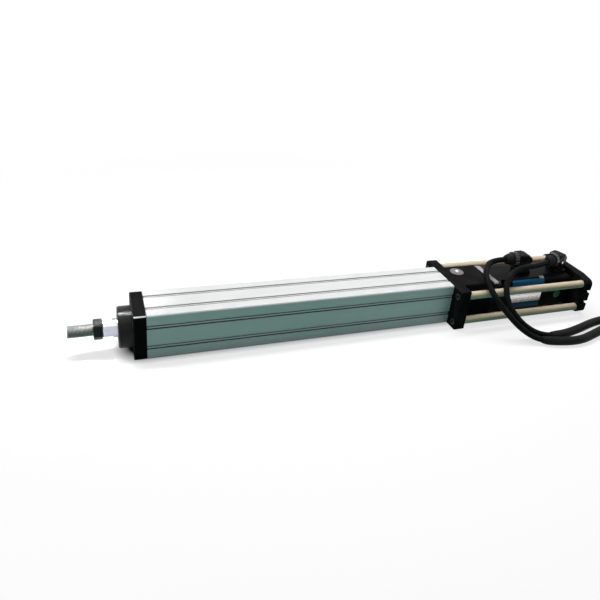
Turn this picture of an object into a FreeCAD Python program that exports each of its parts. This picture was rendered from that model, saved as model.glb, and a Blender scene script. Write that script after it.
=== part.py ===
import FreeCAD, Part
import math
import os

# Electric linear actuator: a ball screw pushes a hollow rod out of a square slotted body.
# The motor stands in line behind the body, between four tie rods and a rear plate.
# X runs along the actuator with the rod end at -X, Z is up, and sizes are in millimetres.
# Pieces are drawn about the rod's axis, from the front face of the front cap, and then moved
# to the row's origin: the middle of the footprint on the bench.

V = FreeCAD.Vector
ALONG = V(1, 0, 0)
UP = V(0, 0, 1)

# Clearances
SLIP = 0.05
RUN = 0.08
AIR = 0.5
OVERCUT = 1.0
TOUCH = 1e-6

# Square body with two sensor slots in each side
BODY_SIDE = 65.0
BODY_CORNER = 3.0
BORE_RADIUS = 23.0
SLOT_OFFSET = 14.8
SLOT_MOUTH = 6.0
SLOT_LIP = 3.6
SLOT_WIDTH = 7.6
SLOT_DEPTH = 6.2
KEYWAY_WIDTH = 8.0
KEYWAY_DEPTH = 2.0
STROKE = 300.0
END_SPARE = 2.0

# Long bolts that clamp the cap and the body to the rear flange
BOLT_PITCH = 46.5
BODY_BOLT_RADIUS = 4.0
BODY_BOLT_HEAD_RADIUS = 6.5
BODY_BOLT_HEAD_LENGTH = 8.0
BODY_BOLT_HEAD_DEPTH = 1.0
BODY_BOLT_TAP_RADIUS = 2.5
BODY_BOLT_TAP_DEPTH = 7.0
BODY_BOLT_GRIP = 13.0

# Front cap and rod guide
CAP_LENGTH = 16.0
EDGE_CHAMFER = 0.8
NOSE_RADIUS = 27.0
NOSE_LENGTH = 17.0
NOSE_CHAMFER = 1.5
GUIDE_RADIUS = 20.0
GUIDE_DEPTH = 50.0
BUSH_WALL = 2.0
BUSH_LENGTH = 22.0
GUIDE_RELIEF = 0.7
WIPER_RADIUS = 17.5
WIPER_LENGTH = 7.0
WIPER_RIM = 2.0
WIPER_DISH = 1.5
WIPER_LIP = 0.8
BUMPER_LENGTH = 8.0
BUMPER_GAP = 0.8

# Rod and rod end
ROD_RADIUS = 12.5
ROD_BORE_RADIUS = 9.2
ROD_SHOW = 18.0
ROD_PLUG_LENGTH = 30.0
ROD_SOCKET_DEPTH = 25.0
FLAT_WIDTH = 20.0
FLAT_LENGTH = 12.0
FLAT_TURN = 28.0
STUD_RADIUS = 8.0
STUD_LENGTH = 41.0
STUD_GRIP = 24.0
STUD_CHAMFER = 1.2
STUD_RELIEF = 0.3
NUT_ACROSS_FLATS = 24.0
NUT_LENGTH = 11.0
NUT_TURN = 14.0
NUT_CHAMFER = 1.4
NUT_FACE_SETBACK = 0.3

# Carriage inside the body
CARRIER_RADIUS = 22.0
CARRIER_LENGTH = 65.0
RING_WIDTH = 8.0
RING_DEPTH = 1.5
RING_INSET = 4.0
MAGNET_WIDTH = 6.0
MAGNET_DEPTH = 2.5
KEY_LENGTH = 10.0
KEY_SEAT_DEPTH = 2.0
BALL_NUT_RADIUS = 14.0
BALL_NUT_LENGTH = 36.0
BALL_NUT_FLANGE_RADIUS = 20.0
BALL_NUT_FLANGE_LENGTH = 10.0
BALL_NUT_FLAT = 16.4
BALL_NUT_SPARE = 1.0

# Ball screw and its bearings
SCREW_RADIUS = 8.0
SCREW_NECK_RADIUS = 6.0
SCREW_GAP = 1.5
JOURNAL_RADIUS = 6.0
SHAFT_END_RADIUS = 5.0
TIP_BUSH_LENGTH = 10.0
TIP_SPARE = 2.0
BEARING_RADIUS = 16.0
BEARING_WIDTH = 10.0
BEARING_COUNT = 2
RACE_WALL = 2.8
BALL_RADIUS = 2.1
BALL_COUNT = 9
CAGE_WALL = 1.3
CAGE_WIDTH = 5.0
LOCK_NUT_RADIUS = 9.0
LOCK_NUT_LENGTH = 8.0
LOCK_NUT_SLOT = 3.0
COVER_RADIUS = 22.0
COVER_LENGTH = 10.0
COVER_BORE_GAP = 1.0
COVER_SCREW_RING = 19.0
COVER_SCREW_RADIUS = 1.5
COVER_SCREW_GRIP = 6.0
COVER_SCREW_HEAD_RADIUS = 2.7
COVER_SCREW_HEAD_LENGTH = 3.0
COVER_SCREW_KEY = 2.4
COVER_SCREW_KEY_DEPTH = 1.5

# Rear flange and coupling box
FLANGE_WIDTH = 108.0
FLANGE_LENGTH = 18.0
FLANGE_CORNER = 2.0
FLANGE_WALL = 4.0
BOX_SIDE = 62.0
BOX_LENGTH = 57.0
BOX_CORNER = 3.0
BOX_BORE_RADIUS = 22.5
BOX_SCREW_Y = 27.0
BOX_SCREW_Z = 8.0
BOX_SCREW_RADIUS = 2.0
BOX_SCREW_HEAD_RADIUS = 3.5
BOX_SCREW_HEAD_LENGTH = 4.0
BOX_SCREW_GRIP = 12.0
BOX_SCREW_KEY = 3.0
BOX_SCREW_KEY_DEPTH = 2.0
ACCESS_FROM_FLANGE = 13.0
ACCESS_Y = 11.0
ACCESS_RADIUS = 10.0
ACCESS_HEAD_RADIUS = 11.0
ACCESS_HEAD_LENGTH = 1.2
ACCESS_DEPTH = 7.0
ACCESS_KEY = 8.0
ACCESS_KEY_DEPTH = 4.0

# Jaw coupling
HUB_RADIUS = 15.0
HUB_GAP = 1.0
HUB_CLEAR = 3.0
JAW_LENGTH = 11.0
JAW_INNER_RADIUS = 10.4
JAW_ANGLE = 38.0
JAW_COUNT = 3
SPIDER_LENGTH = 12.0
SPIDER_RADIUS = 14.7
SPIDER_RING_RADIUS = 10.0
SPIDER_ARM_ANGLE = 20.0

# Tie rods and rear plate
TIE_ROD_RADIUS = 6.0
TIE_ROD_CHAMFER = 0.8
TIE_EDGE = 8.0
TIE_PITCH_Z = 43.0
TIE_SCREW_RADIUS = 3.0
TIE_SCREW_HEAD_RADIUS = 5.0
TIE_SCREW_HEAD_LENGTH = 6.0
TIE_SCREW_PROUD = 0.5
TIE_SCREW_GRIP = 16.0
TIE_SCREW_KEY = 5.0
TIE_SCREW_KEY_DEPTH = 3.0
PLATE_LENGTH = 15.0
PLATE_GAP = 5.0
PLATE_CENTRE_WIDTH = 62.0
EAR_RADIUS = 8.5
NOTCH_HEIGHT = 9.8
NOTCH_RADIUS = 3.0
NOTCH_DEPTH = 6.5
PLATE_TAP_RADIUS = 3.4
TIE_PITCH_Y = FLANGE_WIDTH - 2 * TIE_EDGE

# Motor
MOTOR_SIDE = 60.0
MOTOR_FLANGE_LENGTH = 10.0
MOTOR_FLANGE_CORNER = 5.0
PILOT_RADIUS = 25.0
PILOT_LENGTH = 3.0
MOTOR_BOLT_PITCH = 49.5
MOTOR_SCREW_RADIUS = 2.5
MOTOR_SCREW_HEAD_RADIUS = 4.25
MOTOR_SCREW_HEAD_LENGTH = 5.0
MOTOR_SCREW_GRIP = 12.0
MOTOR_SCREW_KEY = 4.0
MOTOR_SCREW_KEY_DEPTH = 2.5
CAN_SIDE = 58.0
CAN_LENGTH = 104.0
CAN_CORNER = 7.0
CAN_BORE_RADIUS = 25.5
CAN_NOTCH_RADIUS = 5.2
CAN_NOTCH_LENGTH = 18.0
COVER_BOX_SIDE = 50.0
COVER_BOX_LENGTH = 46.0
COVER_BOX_CORNER = 6.0
COVER_BOX_WALL = 2.5
COVER_BOX_DROP = 4.0
SHAFT_RADIUS = 7.0
SHAFT_SEAT_RADIUS = 8.5
SHAFT_CORE_RADIUS = 9.0
SHAFT_REAR_RADIUS = 6.0
SHAFT_END_GAP = 1.0
SHAFT_SEAT_SET = 1.0
FRONT_BEARING_RADIUS = 15.0
FRONT_BEARING_WIDTH = 8.0
REAR_BEARING_RADIUS = 13.0
REAR_BEARING_WIDTH = 9.0
SHIELD_LENGTH = 12.0
SHIELD_GAP = 2.0
STATOR_FROM_FLANGE = 22.0
STATOR_INNER_RADIUS = 15.4
STATOR_SLOTS = 12
STATOR_SLOT_WIDTH = 3.0
STATOR_SLOT_DEPTH = 6.0
WINDING_LENGTH = 7.0
WINDING_WALL = 6.0
WINDING_GAP = 1.5
WINDING_SPARE = 5.0
STATOR_LENGTH = CAN_LENGTH - STATOR_FROM_FLANGE - WINDING_LENGTH - WINDING_SPARE - SHIELD_LENGTH
ROTOR_RADIUS = 14.8
ENCODER_DISC_RADIUS = 17.0
ENCODER_DISC_LENGTH = 2.0
ENCODER_HUB_RADIUS = 8.0
ENCODER_HUB_LENGTH = 6.0
ENCODER_GAP = 6.0

# Sockets and elbow plugs on the motor
SOCKET_SIDE = 24.0
SOCKET_BASE_HEIGHT = 5.0
SOCKET_CORNER = 3.0
SOCKET_BARREL_RADIUS = 9.5
SOCKET_BARREL_HEIGHT = 7.0
POWER_SOCKET_FROM_FLANGE = 72.0
ENCODER_SOCKET_FROM_END = 14.0
PLUG_WIDTH = 20.0
PLUG_FRONT = 15.5
PLUG_REAR = 12.5
PLUG_TOP = 32.5
PLUG_FLOOR = 12.0
PLUG_SLOPE_X = 4.0
PLUG_SLOPE_Z = 7.0
PLUG_ROUND = 2.5
PLUG_RIB = 1.0
PLUG_RIB_LENGTH = 2.4
PLUG_RIB_SET = 2.8
PLUG_RIB_PITCH = 5.0
PLUG_RIB_COUNT = 3
PLUG_SKIRT_RADIUS = 11.4
LEAD_HEIGHT = 24.0
POWER_PLUG_TURN = 0.0
ENCODER_PLUG_TURN = 20.0
RING_NUT_RADIUS = 11.5
RING_NUT_LENGTH = 8.0
RING_NUT_FLUTES = 14
RING_NUT_FLUTE_RADIUS = 0.9
GLAND_RADIUS = 9.0
GLAND_LENGTH = 12.5
GLAND_STRAIGHT = 5.0
GLAND_TIP_RADIUS = 6.2

# Leads, in the row's own frame: the runs from the glands to the coil, and the tails to the far ends
LEAD_RADIUS = 4.5
ARC_SHARE = 0.45
POWER_RUN = [
    (228.0, 0.0, 85.5), (207.0, -13.0, 83.5), (192.5, -36.5, 75.5), (192.5, -63.0, 61.0),
    (206.0, -84.0, 41.5), (227.5, -100.5, 20.0), (252.5, -113.5, 4.5), (282.5, -120.5, 4.5),
    (321.0, -117.0, 4.5), (360.5, -106.0, 4.5), (397.0, -97.5, 4.5), (430.0, -97.0, 4.5),
]
ENCODER_RUN = [
    (303.0, -21.47, 81.5), (272.5, -26.5, 89.5), (242.0, -35.0, 86.5), (221.0, -49.5, 71.0),
    (215.5, -69.5, 50.5), (225.0, -87.0, 32.0), (245.0, -98.5, 16.0), (270.5, -106.5, 4.5),
    (303.0, -109.0, 4.5), (340.5, -99.5, 4.5), (381.0, -87.0, 4.5), (418.0, -82.0, 4.5),
    (446.5, -88.5, 4.5),
]
COIL_X = 490.0
COIL_Y = -147.0
COIL_INNER_TURN = 47.5
COIL_OUTER_TURN = 57.2
COIL_LAYERS = 3
COIL_LAYER_HEIGHT = 9.5
COIL_MARGIN = 0.3
TIE_WIDTH = 5.0
TIE_WALL = 1.2
TIE_ANGLE = -20.0
POWER_TAIL = [(428.0, -193.5, 22.5), (409.0, -187.0, 16.5), (390.0, -181.0, 12.5)]
ENCODER_TAIL = [(440.0, -204.8, 22.0), (414.0, -209.0, 13.0), (397.0, -211.0, 8.0)]

# Far ends of the leads
METAL_PLUG_X = 372.0
METAL_PLUG_Y = -181.0
METAL_RING_RADIUS = 12.5
METAL_BODY_RADIUS = 10.5
METAL_CLAMP_RADIUS = 7.5
METAL_CLAMP_LENGTH = 14.0
METAL_BODY_LENGTH = 30.0
METAL_RING_LENGTH = 14.0
METAL_RING_SET = 4.0
METAL_CONE_LENGTH = 4.0
METAL_NECK_STEP = 1.5
METAL_NECK_LEAD = 2.0
HOOD_X = 370.0
HOOD_Y = -211.0
HOOD_LENGTH = 38.0
HOOD_WIDTH = 34.0
HOOD_NECK_WIDTH = 20.0
HOOD_TAPER = 14.0
HOOD_HEIGHT = 16.0
HOOD_ROUND = 2.5
BOOT_LENGTH = 14.0
BOOT_RADIUS = 6.5
BOOT_WALL = 0.8
SHELL_PLATE_WIDTH = 31.0
SHELL_PLATE_HEIGHT = 12.5
SHELL_PLATE_LENGTH = 1.2
SHELL_WIDTH = 19.0
SHELL_HEIGHT = 8.4
SHELL_LENGTH = 6.0
SHELL_CORNER = 2.0

# Stations along the axis, from the front face of the cap
CARRIAGE_LENGTH = CARRIER_LENGTH + BALL_NUT_FLANGE_LENGTH
BODY_LENGTH = GUIDE_DEPTH + 2 * (BUMPER_LENGTH + END_SPARE) + STROKE + CARRIAGE_LENGTH
HALF = BODY_SIDE / 2
x_rod_face = -NOSE_LENGTH - ROD_SHOW
x_tip = x_rod_face - STUD_LENGTH
x_body = CAP_LENGTH
x_guide_end = x_body + GUIDE_DEPTH
x_flange = x_body + BODY_LENGTH
x_box = x_flange + FLANGE_LENGTH
x_motor = x_box + BOX_LENGTH
x_can = x_motor + MOTOR_FLANGE_LENGTH
x_cover = x_can + CAN_LENGTH
x_motor_end = x_cover + COVER_BOX_LENGTH
x_plate = x_motor_end + PLATE_GAP
x_rear = x_plate + PLATE_LENGTH
x_carriage_end = x_flange - BUMPER_LENGTH - END_SPARE
x_carriage = x_carriage_end - CARRIAGE_LENGTH
x_nut_flange = x_carriage + CARRIER_LENGTH
x_rod_end = x_carriage + ROD_SOCKET_DEPTH
x_screw = x_rod_end - STROKE - TIP_SPARE - TIP_BUSH_LENGTH
x_bearing = x_flange + FLANGE_WALL
x_bearing_end = x_bearing + BEARING_COUNT * BEARING_WIDTH
x_hub_end = x_motor - PILOT_LENGTH - HUB_GAP
x_hub = x_bearing_end + LOCK_NUT_LENGTH + HUB_CLEAR
HUB_LENGTH = (x_hub_end - x_hub - SPIDER_LENGTH) / 2
x_spider = x_hub + HUB_LENGTH
x_stator = x_can + STATOR_FROM_FLANGE
x_rear_bearing = x_cover - REAR_BEARING_WIDTH
x_disc = x_cover + ENCODER_GAP
x_power_socket = x_motor + POWER_SOCKET_FROM_FLANGE
x_encoder_socket = x_motor_end - ENCODER_SOCKET_FROM_END
ORIGIN = V(-(x_tip + x_rear) / 2, 0, HALF)


# Shapes that repeat

def bar(x0, x1, radius, y=0.0, z=0.0):
    """A round bar along X between two stations."""
    return Part.makeCylinder(radius, x1 - x0, V(x0, y, z), ALONG)


def ring(x0, x1, outer, inner):
    """A ring about the axis between two stations."""
    return bar(x0, x1, outer).cut(bar(x0 - OVERCUT, x1 + OVERCUT, inner))


def turned(profile):
    """A solid turned about the X axis from an outline of (station, radius) points."""
    points = [V(x, radius, 0) for x, radius in profile]
    return Part.Face(Part.makePolygon(points + points[:1])).revolve(V(0, 0, 0), ALONG, 360)


def section(width, height, corner):
    """A rectangle with round corners across the axis, at station 0."""
    half_w, half_h = width / 2, height / 2
    lean = corner * (1 - math.sqrt(0.5))
    edges = []
    for sy, sz in ((1, 1), (-1, 1), (-1, -1), (1, -1)):
        upright = V(0, sy * half_w, sz * (half_h - corner))
        level = V(0, sy * (half_w - corner), sz * half_h)
        middle = V(0, sy * (half_w - lean), sz * (half_h - lean))
        start, end = (upright, level) if sy * sz > 0 else (level, upright)
        if edges:
            edges.append(Part.LineSegment(edges[-1].EndPoint, start))
        edges.append(Part.Arc(start, middle, end))
    edges.append(Part.LineSegment(edges[-1].EndPoint, edges[0].StartPoint))
    return Part.Face(Part.Wire([edge.toShape() for edge in edges]))


def block(x0, x1, width, height, corner):
    """A block along X with round long edges, centred on the axis."""
    face = section(width, height, corner)
    face.translate(V(x0, 0, 0))
    return face.extrude(V(x1 - x0, 0, 0))


def slab(x0, x1, y0, y1, z0, z1):
    """A plain box between two corners."""
    return Part.makeBox(x1 - x0, y1 - y0, z1 - z0, V(x0, y0, z0))


def hexagon(x0, x1, across_flats, turn=0.0):
    """A six-sided bar along X."""
    reach = across_flats / math.sqrt(3)
    angles = [math.radians(turn + 60 * k) for k in range(7)]
    points = [V(x0, reach * math.cos(a), reach * math.sin(a)) for a in angles]
    return Part.Face(Part.makePolygon(points)).extrude(V(x1 - x0, 0, 0))


def corners(pitch_y, pitch_z):
    """The four corners of a bolt pattern as (y, z)."""
    return [(sy * pitch_y / 2, sz * pitch_z / 2) for sy in (1, -1) for sz in (1, -1)]


def end_edges(shape, x, reach):
    """The edges of a shape that lie in the plane at station x, further out than reach."""
    box_of = [(edge, edge.BoundBox) for edge in shape.Edges]
    flat = [edge for edge, box in box_of if box.XLength < TOUCH and abs(box.XMin - x) < TOUCH]
    return [edge for edge in flat if math.hypot(edge.CenterOfMass.y, edge.CenterOfMass.z) > reach]


def cap_screw(x_seat, way, radius, length, head_radius, head_length, key, key_depth, y, z):
    """A socket head screw: its head stands on x_seat, and its shank runs the given way along X."""
    shank = bar(min(x_seat, x_seat + way * length), max(x_seat, x_seat + way * length), radius, y, z)
    x_head = x_seat - way * head_length
    head = bar(min(x_seat, x_head), max(x_seat, x_head), head_radius, y, z)
    x_key = x_head + way * key_depth
    socket = hexagon(min(x_head, x_key), max(x_head, x_key), key)
    socket.translate(V(0, y, z))
    return shank.fuse(head).cut(socket).removeSplitter()


def save(node, *solids, moved=True):
    """Writes one node, moved from the axis to the row's origin."""
    shape = solids[0] if len(solids) == 1 else Part.makeCompound(list(solids))
    if moved:
        shape = shape.copy()
        shape.translate(ORIGIN)
    shape.exportStep("parts/" + node + ".step")


# Body

def body_extrusion():
    """Square profile with T-slots in all sides, bolt channels and a keyed bore."""
    face = section(BODY_SIDE, BODY_SIDE, BODY_CORNER)
    slot_mouth = slab(0, 1, SLOT_OFFSET - SLOT_MOUTH / 2, SLOT_OFFSET + SLOT_MOUTH / 2,
                      HALF - SLOT_DEPTH, HALF + OVERCUT)
    slot_hall = slab(0, 1, SLOT_OFFSET - SLOT_WIDTH / 2, SLOT_OFFSET + SLOT_WIDTH / 2,
                     HALF - SLOT_DEPTH, HALF - SLOT_LIP)
    slot = slot_mouth.fuse(slot_hall).removeSplitter()
    twin = slot.mirror(V(0, 0, 0), V(0, 1, 0))
    cuts = []
    for quarter in range(4):
        for tool in (slot, twin):
            turned_tool = tool.copy()
            turned_tool.rotate(V(0, 0, 0), ALONG, 90 * quarter)
            cuts.append(turned_tool)
    cuts.append(bar(0, 1, BORE_RADIUS))
    key_reach = BORE_RADIUS + KEYWAY_DEPTH
    cuts.append(slab(0, 1, -key_reach, key_reach, -KEYWAY_WIDTH / 2, KEYWAY_WIDTH / 2))
    for y, z in corners(BOLT_PITCH, BOLT_PITCH):
        cuts.append(bar(0, 1, BODY_BOLT_RADIUS + AIR, y, z))
    profile = face.extrude(V(1, 0, 0)).cut(cuts)
    front = [f for f in profile.Faces if f.BoundBox.XMax < TOUCH][0]
    front.translate(V(x_body, 0, 0))
    return front.extrude(V(BODY_LENGTH, 0, 0))


def front_cap():
    """Square cap with the guide's bore and sunk seats for the body bolts."""
    cap = block(0, x_body, BODY_SIDE, BODY_SIDE, BODY_CORNER)
    cap = cap.makeChamfer(EDGE_CHAMFER, end_edges(cap, 0, 0) + end_edges(cap, x_body, 0))
    cuts = [bar(-OVERCUT, x_body + OVERCUT, GUIDE_RADIUS + SLIP)]
    x_seat = BODY_BOLT_HEAD_DEPTH + BODY_BOLT_HEAD_LENGTH
    for y, z in corners(BOLT_PITCH, BOLT_PITCH):
        cuts.append(bar(-OVERCUT, x_seat, BODY_BOLT_HEAD_RADIUS + SLIP, y, z))
        cuts.append(bar(0, x_body + OVERCUT, BODY_BOLT_RADIUS + AIR, y, z))
    return cap.cut(cuts)


def body_bolts():
    """Four long bolts from the cap to the rear flange, each with a tapped head to mount by."""
    x_head = BODY_BOLT_HEAD_DEPTH
    x_seat = x_head + BODY_BOLT_HEAD_LENGTH
    x_end = x_flange + BODY_BOLT_GRIP
    bolts = []
    for y, z in corners(BOLT_PITCH, BOLT_PITCH):
        bolt = bar(x_head, x_seat, BODY_BOLT_HEAD_RADIUS, y, z)
        bolt = bolt.fuse(bar(x_seat, x_end, BODY_BOLT_RADIUS, y, z))
        bolts.append(bolt.cut(bar(x_head, x_head + BODY_BOLT_TAP_DEPTH, BODY_BOLT_TAP_RADIUS, y, z)))
    return bolts


def rod_guide():
    """Round nose with a long sleeve that carries the rod's bushes and the wiper."""
    seat = ROD_RADIUS + BUSH_WALL + SLIP
    free = ROD_RADIUS + GUIDE_RELIEF
    x_front = -NOSE_LENGTH
    x_wiper = x_front + WIPER_LENGTH
    return turned([
        (x_front, WIPER_RADIUS + SLIP), (x_front, NOSE_RADIUS - NOSE_CHAMFER),
        (x_front + NOSE_CHAMFER, NOSE_RADIUS), (0, NOSE_RADIUS), (0, GUIDE_RADIUS),
        (x_guide_end, GUIDE_RADIUS), (x_guide_end, seat), (x_guide_end - BUSH_LENGTH, seat),
        (x_guide_end - BUSH_LENGTH, free), (x_wiper + BUSH_LENGTH, free),
        (x_wiper + BUSH_LENGTH, seat), (x_wiper, seat), (x_wiper, WIPER_RADIUS + SLIP),
    ])


def rod_bushes():
    """The two plain bushes of the guide."""
    x_front = -NOSE_LENGTH + WIPER_LENGTH
    spans = [(x_front, x_front + BUSH_LENGTH), (x_guide_end - BUSH_LENGTH, x_guide_end)]
    return [ring(x0, x1, ROD_RADIUS + BUSH_WALL, ROD_RADIUS + RUN) for x0, x1 in spans]


def rod_wiper():
    """Rubber wiper with a raised lip against the rod."""
    x_front = -NOSE_LENGTH
    x_back = x_front + WIPER_LENGTH
    lip = ROD_RADIUS + RUN
    return turned([
        (x_back, lip), (x_back, WIPER_RADIUS), (x_front, WIPER_RADIUS),
        (x_front, WIPER_RADIUS - WIPER_RIM),
        (x_front + WIPER_DISH, WIPER_RADIUS - WIPER_RIM - WIPER_DISH),
        (x_front, lip + WIPER_LIP), (x_front, lip),
    ])


def bumper(x0):
    """Rubber stop ring for one end of the travel."""
    return ring(x0, x0 + BUMPER_LENGTH, GUIDE_RADIUS - AIR, ROD_RADIUS + BUMPER_GAP)


# Rod and carriage

def piston_rod():
    """Hollow rod with a solid nose, wrench flats and a hole for the stud."""
    outer = turned([
        (x_rod_face, 0), (x_rod_face, ROD_RADIUS - EDGE_CHAMFER),
        (x_rod_face + EDGE_CHAMFER, ROD_RADIUS), (x_rod_end, ROD_RADIUS), (x_rod_end, 0),
    ])
    cuts = [
        bar(x_rod_face + ROD_PLUG_LENGTH, x_rod_end + OVERCUT, ROD_BORE_RADIUS),
        bar(x_rod_face - OVERCUT, x_rod_face + STUD_GRIP, STUD_RADIUS - STUD_RELIEF + SLIP),
    ]
    for side in (1, -1):
        near, far = side * FLAT_WIDTH / 2, side * (ROD_RADIUS + OVERCUT)
        flat = slab(x_rod_face - OVERCUT, x_rod_face + FLAT_LENGTH, -ROD_RADIUS - OVERCUT,
                    ROD_RADIUS + OVERCUT, min(near, far), max(near, far))
        flat.rotate(V(0, 0, 0), ALONG, -FLAT_TURN)
        cuts.append(flat)
    return outer.cut(cuts)


def rod_end_stud():
    """Stud that carries the load: a full free end, and a relieved shank in the nut and the rod."""
    x_inner = x_rod_face + STUD_GRIP
    x_nut = x_rod_face - NUT_LENGTH
    tip = STUD_RADIUS - STUD_CHAMFER
    shank = STUD_RADIUS - STUD_RELIEF
    return turned([
        (x_tip, 0), (x_tip, tip), (x_tip + STUD_CHAMFER, STUD_RADIUS), (x_nut, STUD_RADIUS),
        (x_nut, shank), (x_inner - STUD_CHAMFER, shank), (x_inner, tip), (x_inner, 0),
    ])


def jam_nut():
    """Hexagon nut against the rod's face, with both faces chamfered."""
    x0 = x_rod_face - NUT_LENGTH
    reach = NUT_ACROSS_FLATS / math.sqrt(3)
    face = NUT_ACROSS_FLATS / 2 - NUT_FACE_SETBACK
    rise = NUT_CHAMFER * (reach - face) / (reach - NUT_ACROSS_FLATS / 2)
    blank = turned([
        (x0, 0), (x0, face), (x0 + rise / 2, reach), (x_rod_face - rise / 2, reach),
        (x_rod_face, face), (x_rod_face, 0),
    ])
    nut = hexagon(x0, x_rod_face, NUT_ACROSS_FLATS, NUT_TURN).common(blank)
    return nut.cut(bar(x0 - OVERCUT, x_rod_face + OVERCUT, STUD_RADIUS - STUD_RELIEF + SLIP))


def ring_spans():
    """The stations of the carriage's two guide rings."""
    first = x_carriage + RING_INSET
    last = x_nut_flange - RING_INSET - RING_WIDTH
    return [(x, x + RING_WIDTH) for x in (first, last)]


def magnet_span():
    """The stations of the sensor magnet, in the middle of the carriage."""
    middle = (x_carriage + x_nut_flange) / 2 + KEY_LENGTH
    return middle - MAGNET_WIDTH / 2, middle + MAGNET_WIDTH / 2


def key_span():
    """The stations of the two guide keys."""
    x0 = x_carriage + RING_INSET + RING_WIDTH + RING_INSET
    return x0, x0 + KEY_LENGTH


def nut_carrier():
    """Carriage that joins the rod to the ball nut, grooved for its rings, magnet and keys."""
    carrier = bar(x_carriage, x_nut_flange, CARRIER_RADIUS)
    x_pocket = x_nut_flange - BALL_NUT_LENGTH - BALL_NUT_SPARE
    cuts = [
        bar(x_carriage - OVERCUT, x_rod_end, ROD_RADIUS + SLIP),
        bar(x_carriage, x_nut_flange, ROD_BORE_RADIUS),
        bar(x_pocket, x_nut_flange + OVERCUT, BALL_NUT_RADIUS + SLIP),
    ]
    for x0, x1 in ring_spans():
        cuts.append(ring(x0, x1, CARRIER_RADIUS + OVERCUT, CARRIER_RADIUS - RING_DEPTH))
    x0, x1 = magnet_span()
    cuts.append(ring(x0, x1, CARRIER_RADIUS + OVERCUT, CARRIER_RADIUS - MAGNET_DEPTH))
    x0, x1 = key_span()
    seat = CARRIER_RADIUS - KEY_SEAT_DEPTH
    half = KEYWAY_WIDTH / 2 - RUN + SLIP
    for side in (1, -1):
        near, far = side * seat, side * (CARRIER_RADIUS + OVERCUT)
        cuts.append(slab(x0 - SLIP, x1 + SLIP, min(near, far), max(near, far), -half, half))
    return carrier.cut(cuts)


def guide_rings():
    """Slide rings that carry the carriage in the bore."""
    inner = CARRIER_RADIUS - RING_DEPTH + SLIP
    return [ring(x0 + SLIP, x1 - SLIP, BORE_RADIUS - RUN, inner) for x0, x1 in ring_spans()]


def magnet_ring():
    """Ring magnet that the slot sensors read."""
    x0, x1 = magnet_span()
    return ring(x0 + SLIP, x1 - SLIP, CARRIER_RADIUS - AIR / 2, CARRIER_RADIUS - MAGNET_DEPTH + SLIP)


def guide_keys():
    """Two keys that keep the rod from turning."""
    x0, x1 = key_span()
    seat, reach = CARRIER_RADIUS - KEY_SEAT_DEPTH + SLIP, BORE_RADIUS + KEYWAY_DEPTH - AIR
    half = KEYWAY_WIDTH / 2 - RUN
    keys = []
    for side in (1, -1):
        near, far = side * seat, side * reach
        keys.append(slab(x0, x1, min(near, far), max(near, far), -half, half))
    return keys


def ball_nut():
    """Flanged ball nut about the screw."""
    body = bar(x_nut_flange - BALL_NUT_LENGTH, x_nut_flange, BALL_NUT_RADIUS)
    flange = bar(x_nut_flange, x_carriage_end, BALL_NUT_FLANGE_RADIUS)
    for side in (1, -1):
        near, far = side * BALL_NUT_FLAT, side * (BALL_NUT_FLANGE_RADIUS + OVERCUT)
        flange = flange.cut(slab(x_nut_flange - OVERCUT, x_carriage_end + OVERCUT,
                                 -BALL_NUT_FLANGE_RADIUS, BALL_NUT_FLANGE_RADIUS,
                                 min(near, far), max(near, far)))
    hole = bar(x_nut_flange - BALL_NUT_LENGTH - OVERCUT, x_carriage_end + OVERCUT, SCREW_RADIUS + RUN)
    return body.fuse(flange).cut(hole).removeSplitter()


# Screw, bearings and coupling

def ball_screw():
    """Screw with a neck for the tip bush, a bearing journal and a coupling end."""
    x_neck = x_screw + TIP_BUSH_LENGTH
    x_thread = x_bearing_end + LOCK_NUT_LENGTH
    x_end = x_hub + HUB_LENGTH - AIR
    return turned([
        (x_screw, 0), (x_screw, SCREW_NECK_RADIUS), (x_neck, SCREW_NECK_RADIUS), (x_neck, SCREW_RADIUS),
        (x_bearing, SCREW_RADIUS), (x_bearing, JOURNAL_RADIUS), (x_thread, JOURNAL_RADIUS),
        (x_thread, SHAFT_END_RADIUS), (x_end, SHAFT_END_RADIUS), (x_end, 0),
    ])


def screw_tip_bush():
    """Plastic bush that steadies the screw's free end inside the rod."""
    return ring(x_screw, x_screw + TIP_BUSH_LENGTH, ROD_BORE_RADIUS - RUN, SCREW_NECK_RADIUS + SLIP)


def bearing_spans():
    """The stations of the screw's bearings, side by side."""
    starts = [x_bearing + k * BEARING_WIDTH for k in range(BEARING_COUNT)]
    return [(x, x + BEARING_WIDTH) for x in starts]


def bearing_outer_rings():
    """Outer races, held between the flange and the cover."""
    return [ring(x0, x1, BEARING_RADIUS, BEARING_RADIUS - RACE_WALL) for x0, x1 in bearing_spans()]


def bearing_inner_rings():
    """Inner races on the screw's journal."""
    inner = JOURNAL_RADIUS + SLIP
    return [ring(x0, x1, JOURNAL_RADIUS + RACE_WALL, inner) for x0, x1 in bearing_spans()]


def bearing_ball_cages():
    """The ball rows, each held in its cage."""
    pitch = (BEARING_RADIUS + JOURNAL_RADIUS) / 2
    cages = []
    for x0, x1 in bearing_spans():
        middle = (x0 + x1) / 2
        cage = ring(middle - CAGE_WIDTH / 2, middle + CAGE_WIDTH / 2, pitch + CAGE_WALL, pitch - CAGE_WALL)
        balls = []
        for k in range(BALL_COUNT):
            angle = 2 * math.pi * k / BALL_COUNT
            centre = V(middle, pitch * math.cos(angle), pitch * math.sin(angle))
            balls.append(Part.makeSphere(BALL_RADIUS, centre))
        cages.append(cage.fuse(balls))
    return cages


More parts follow.
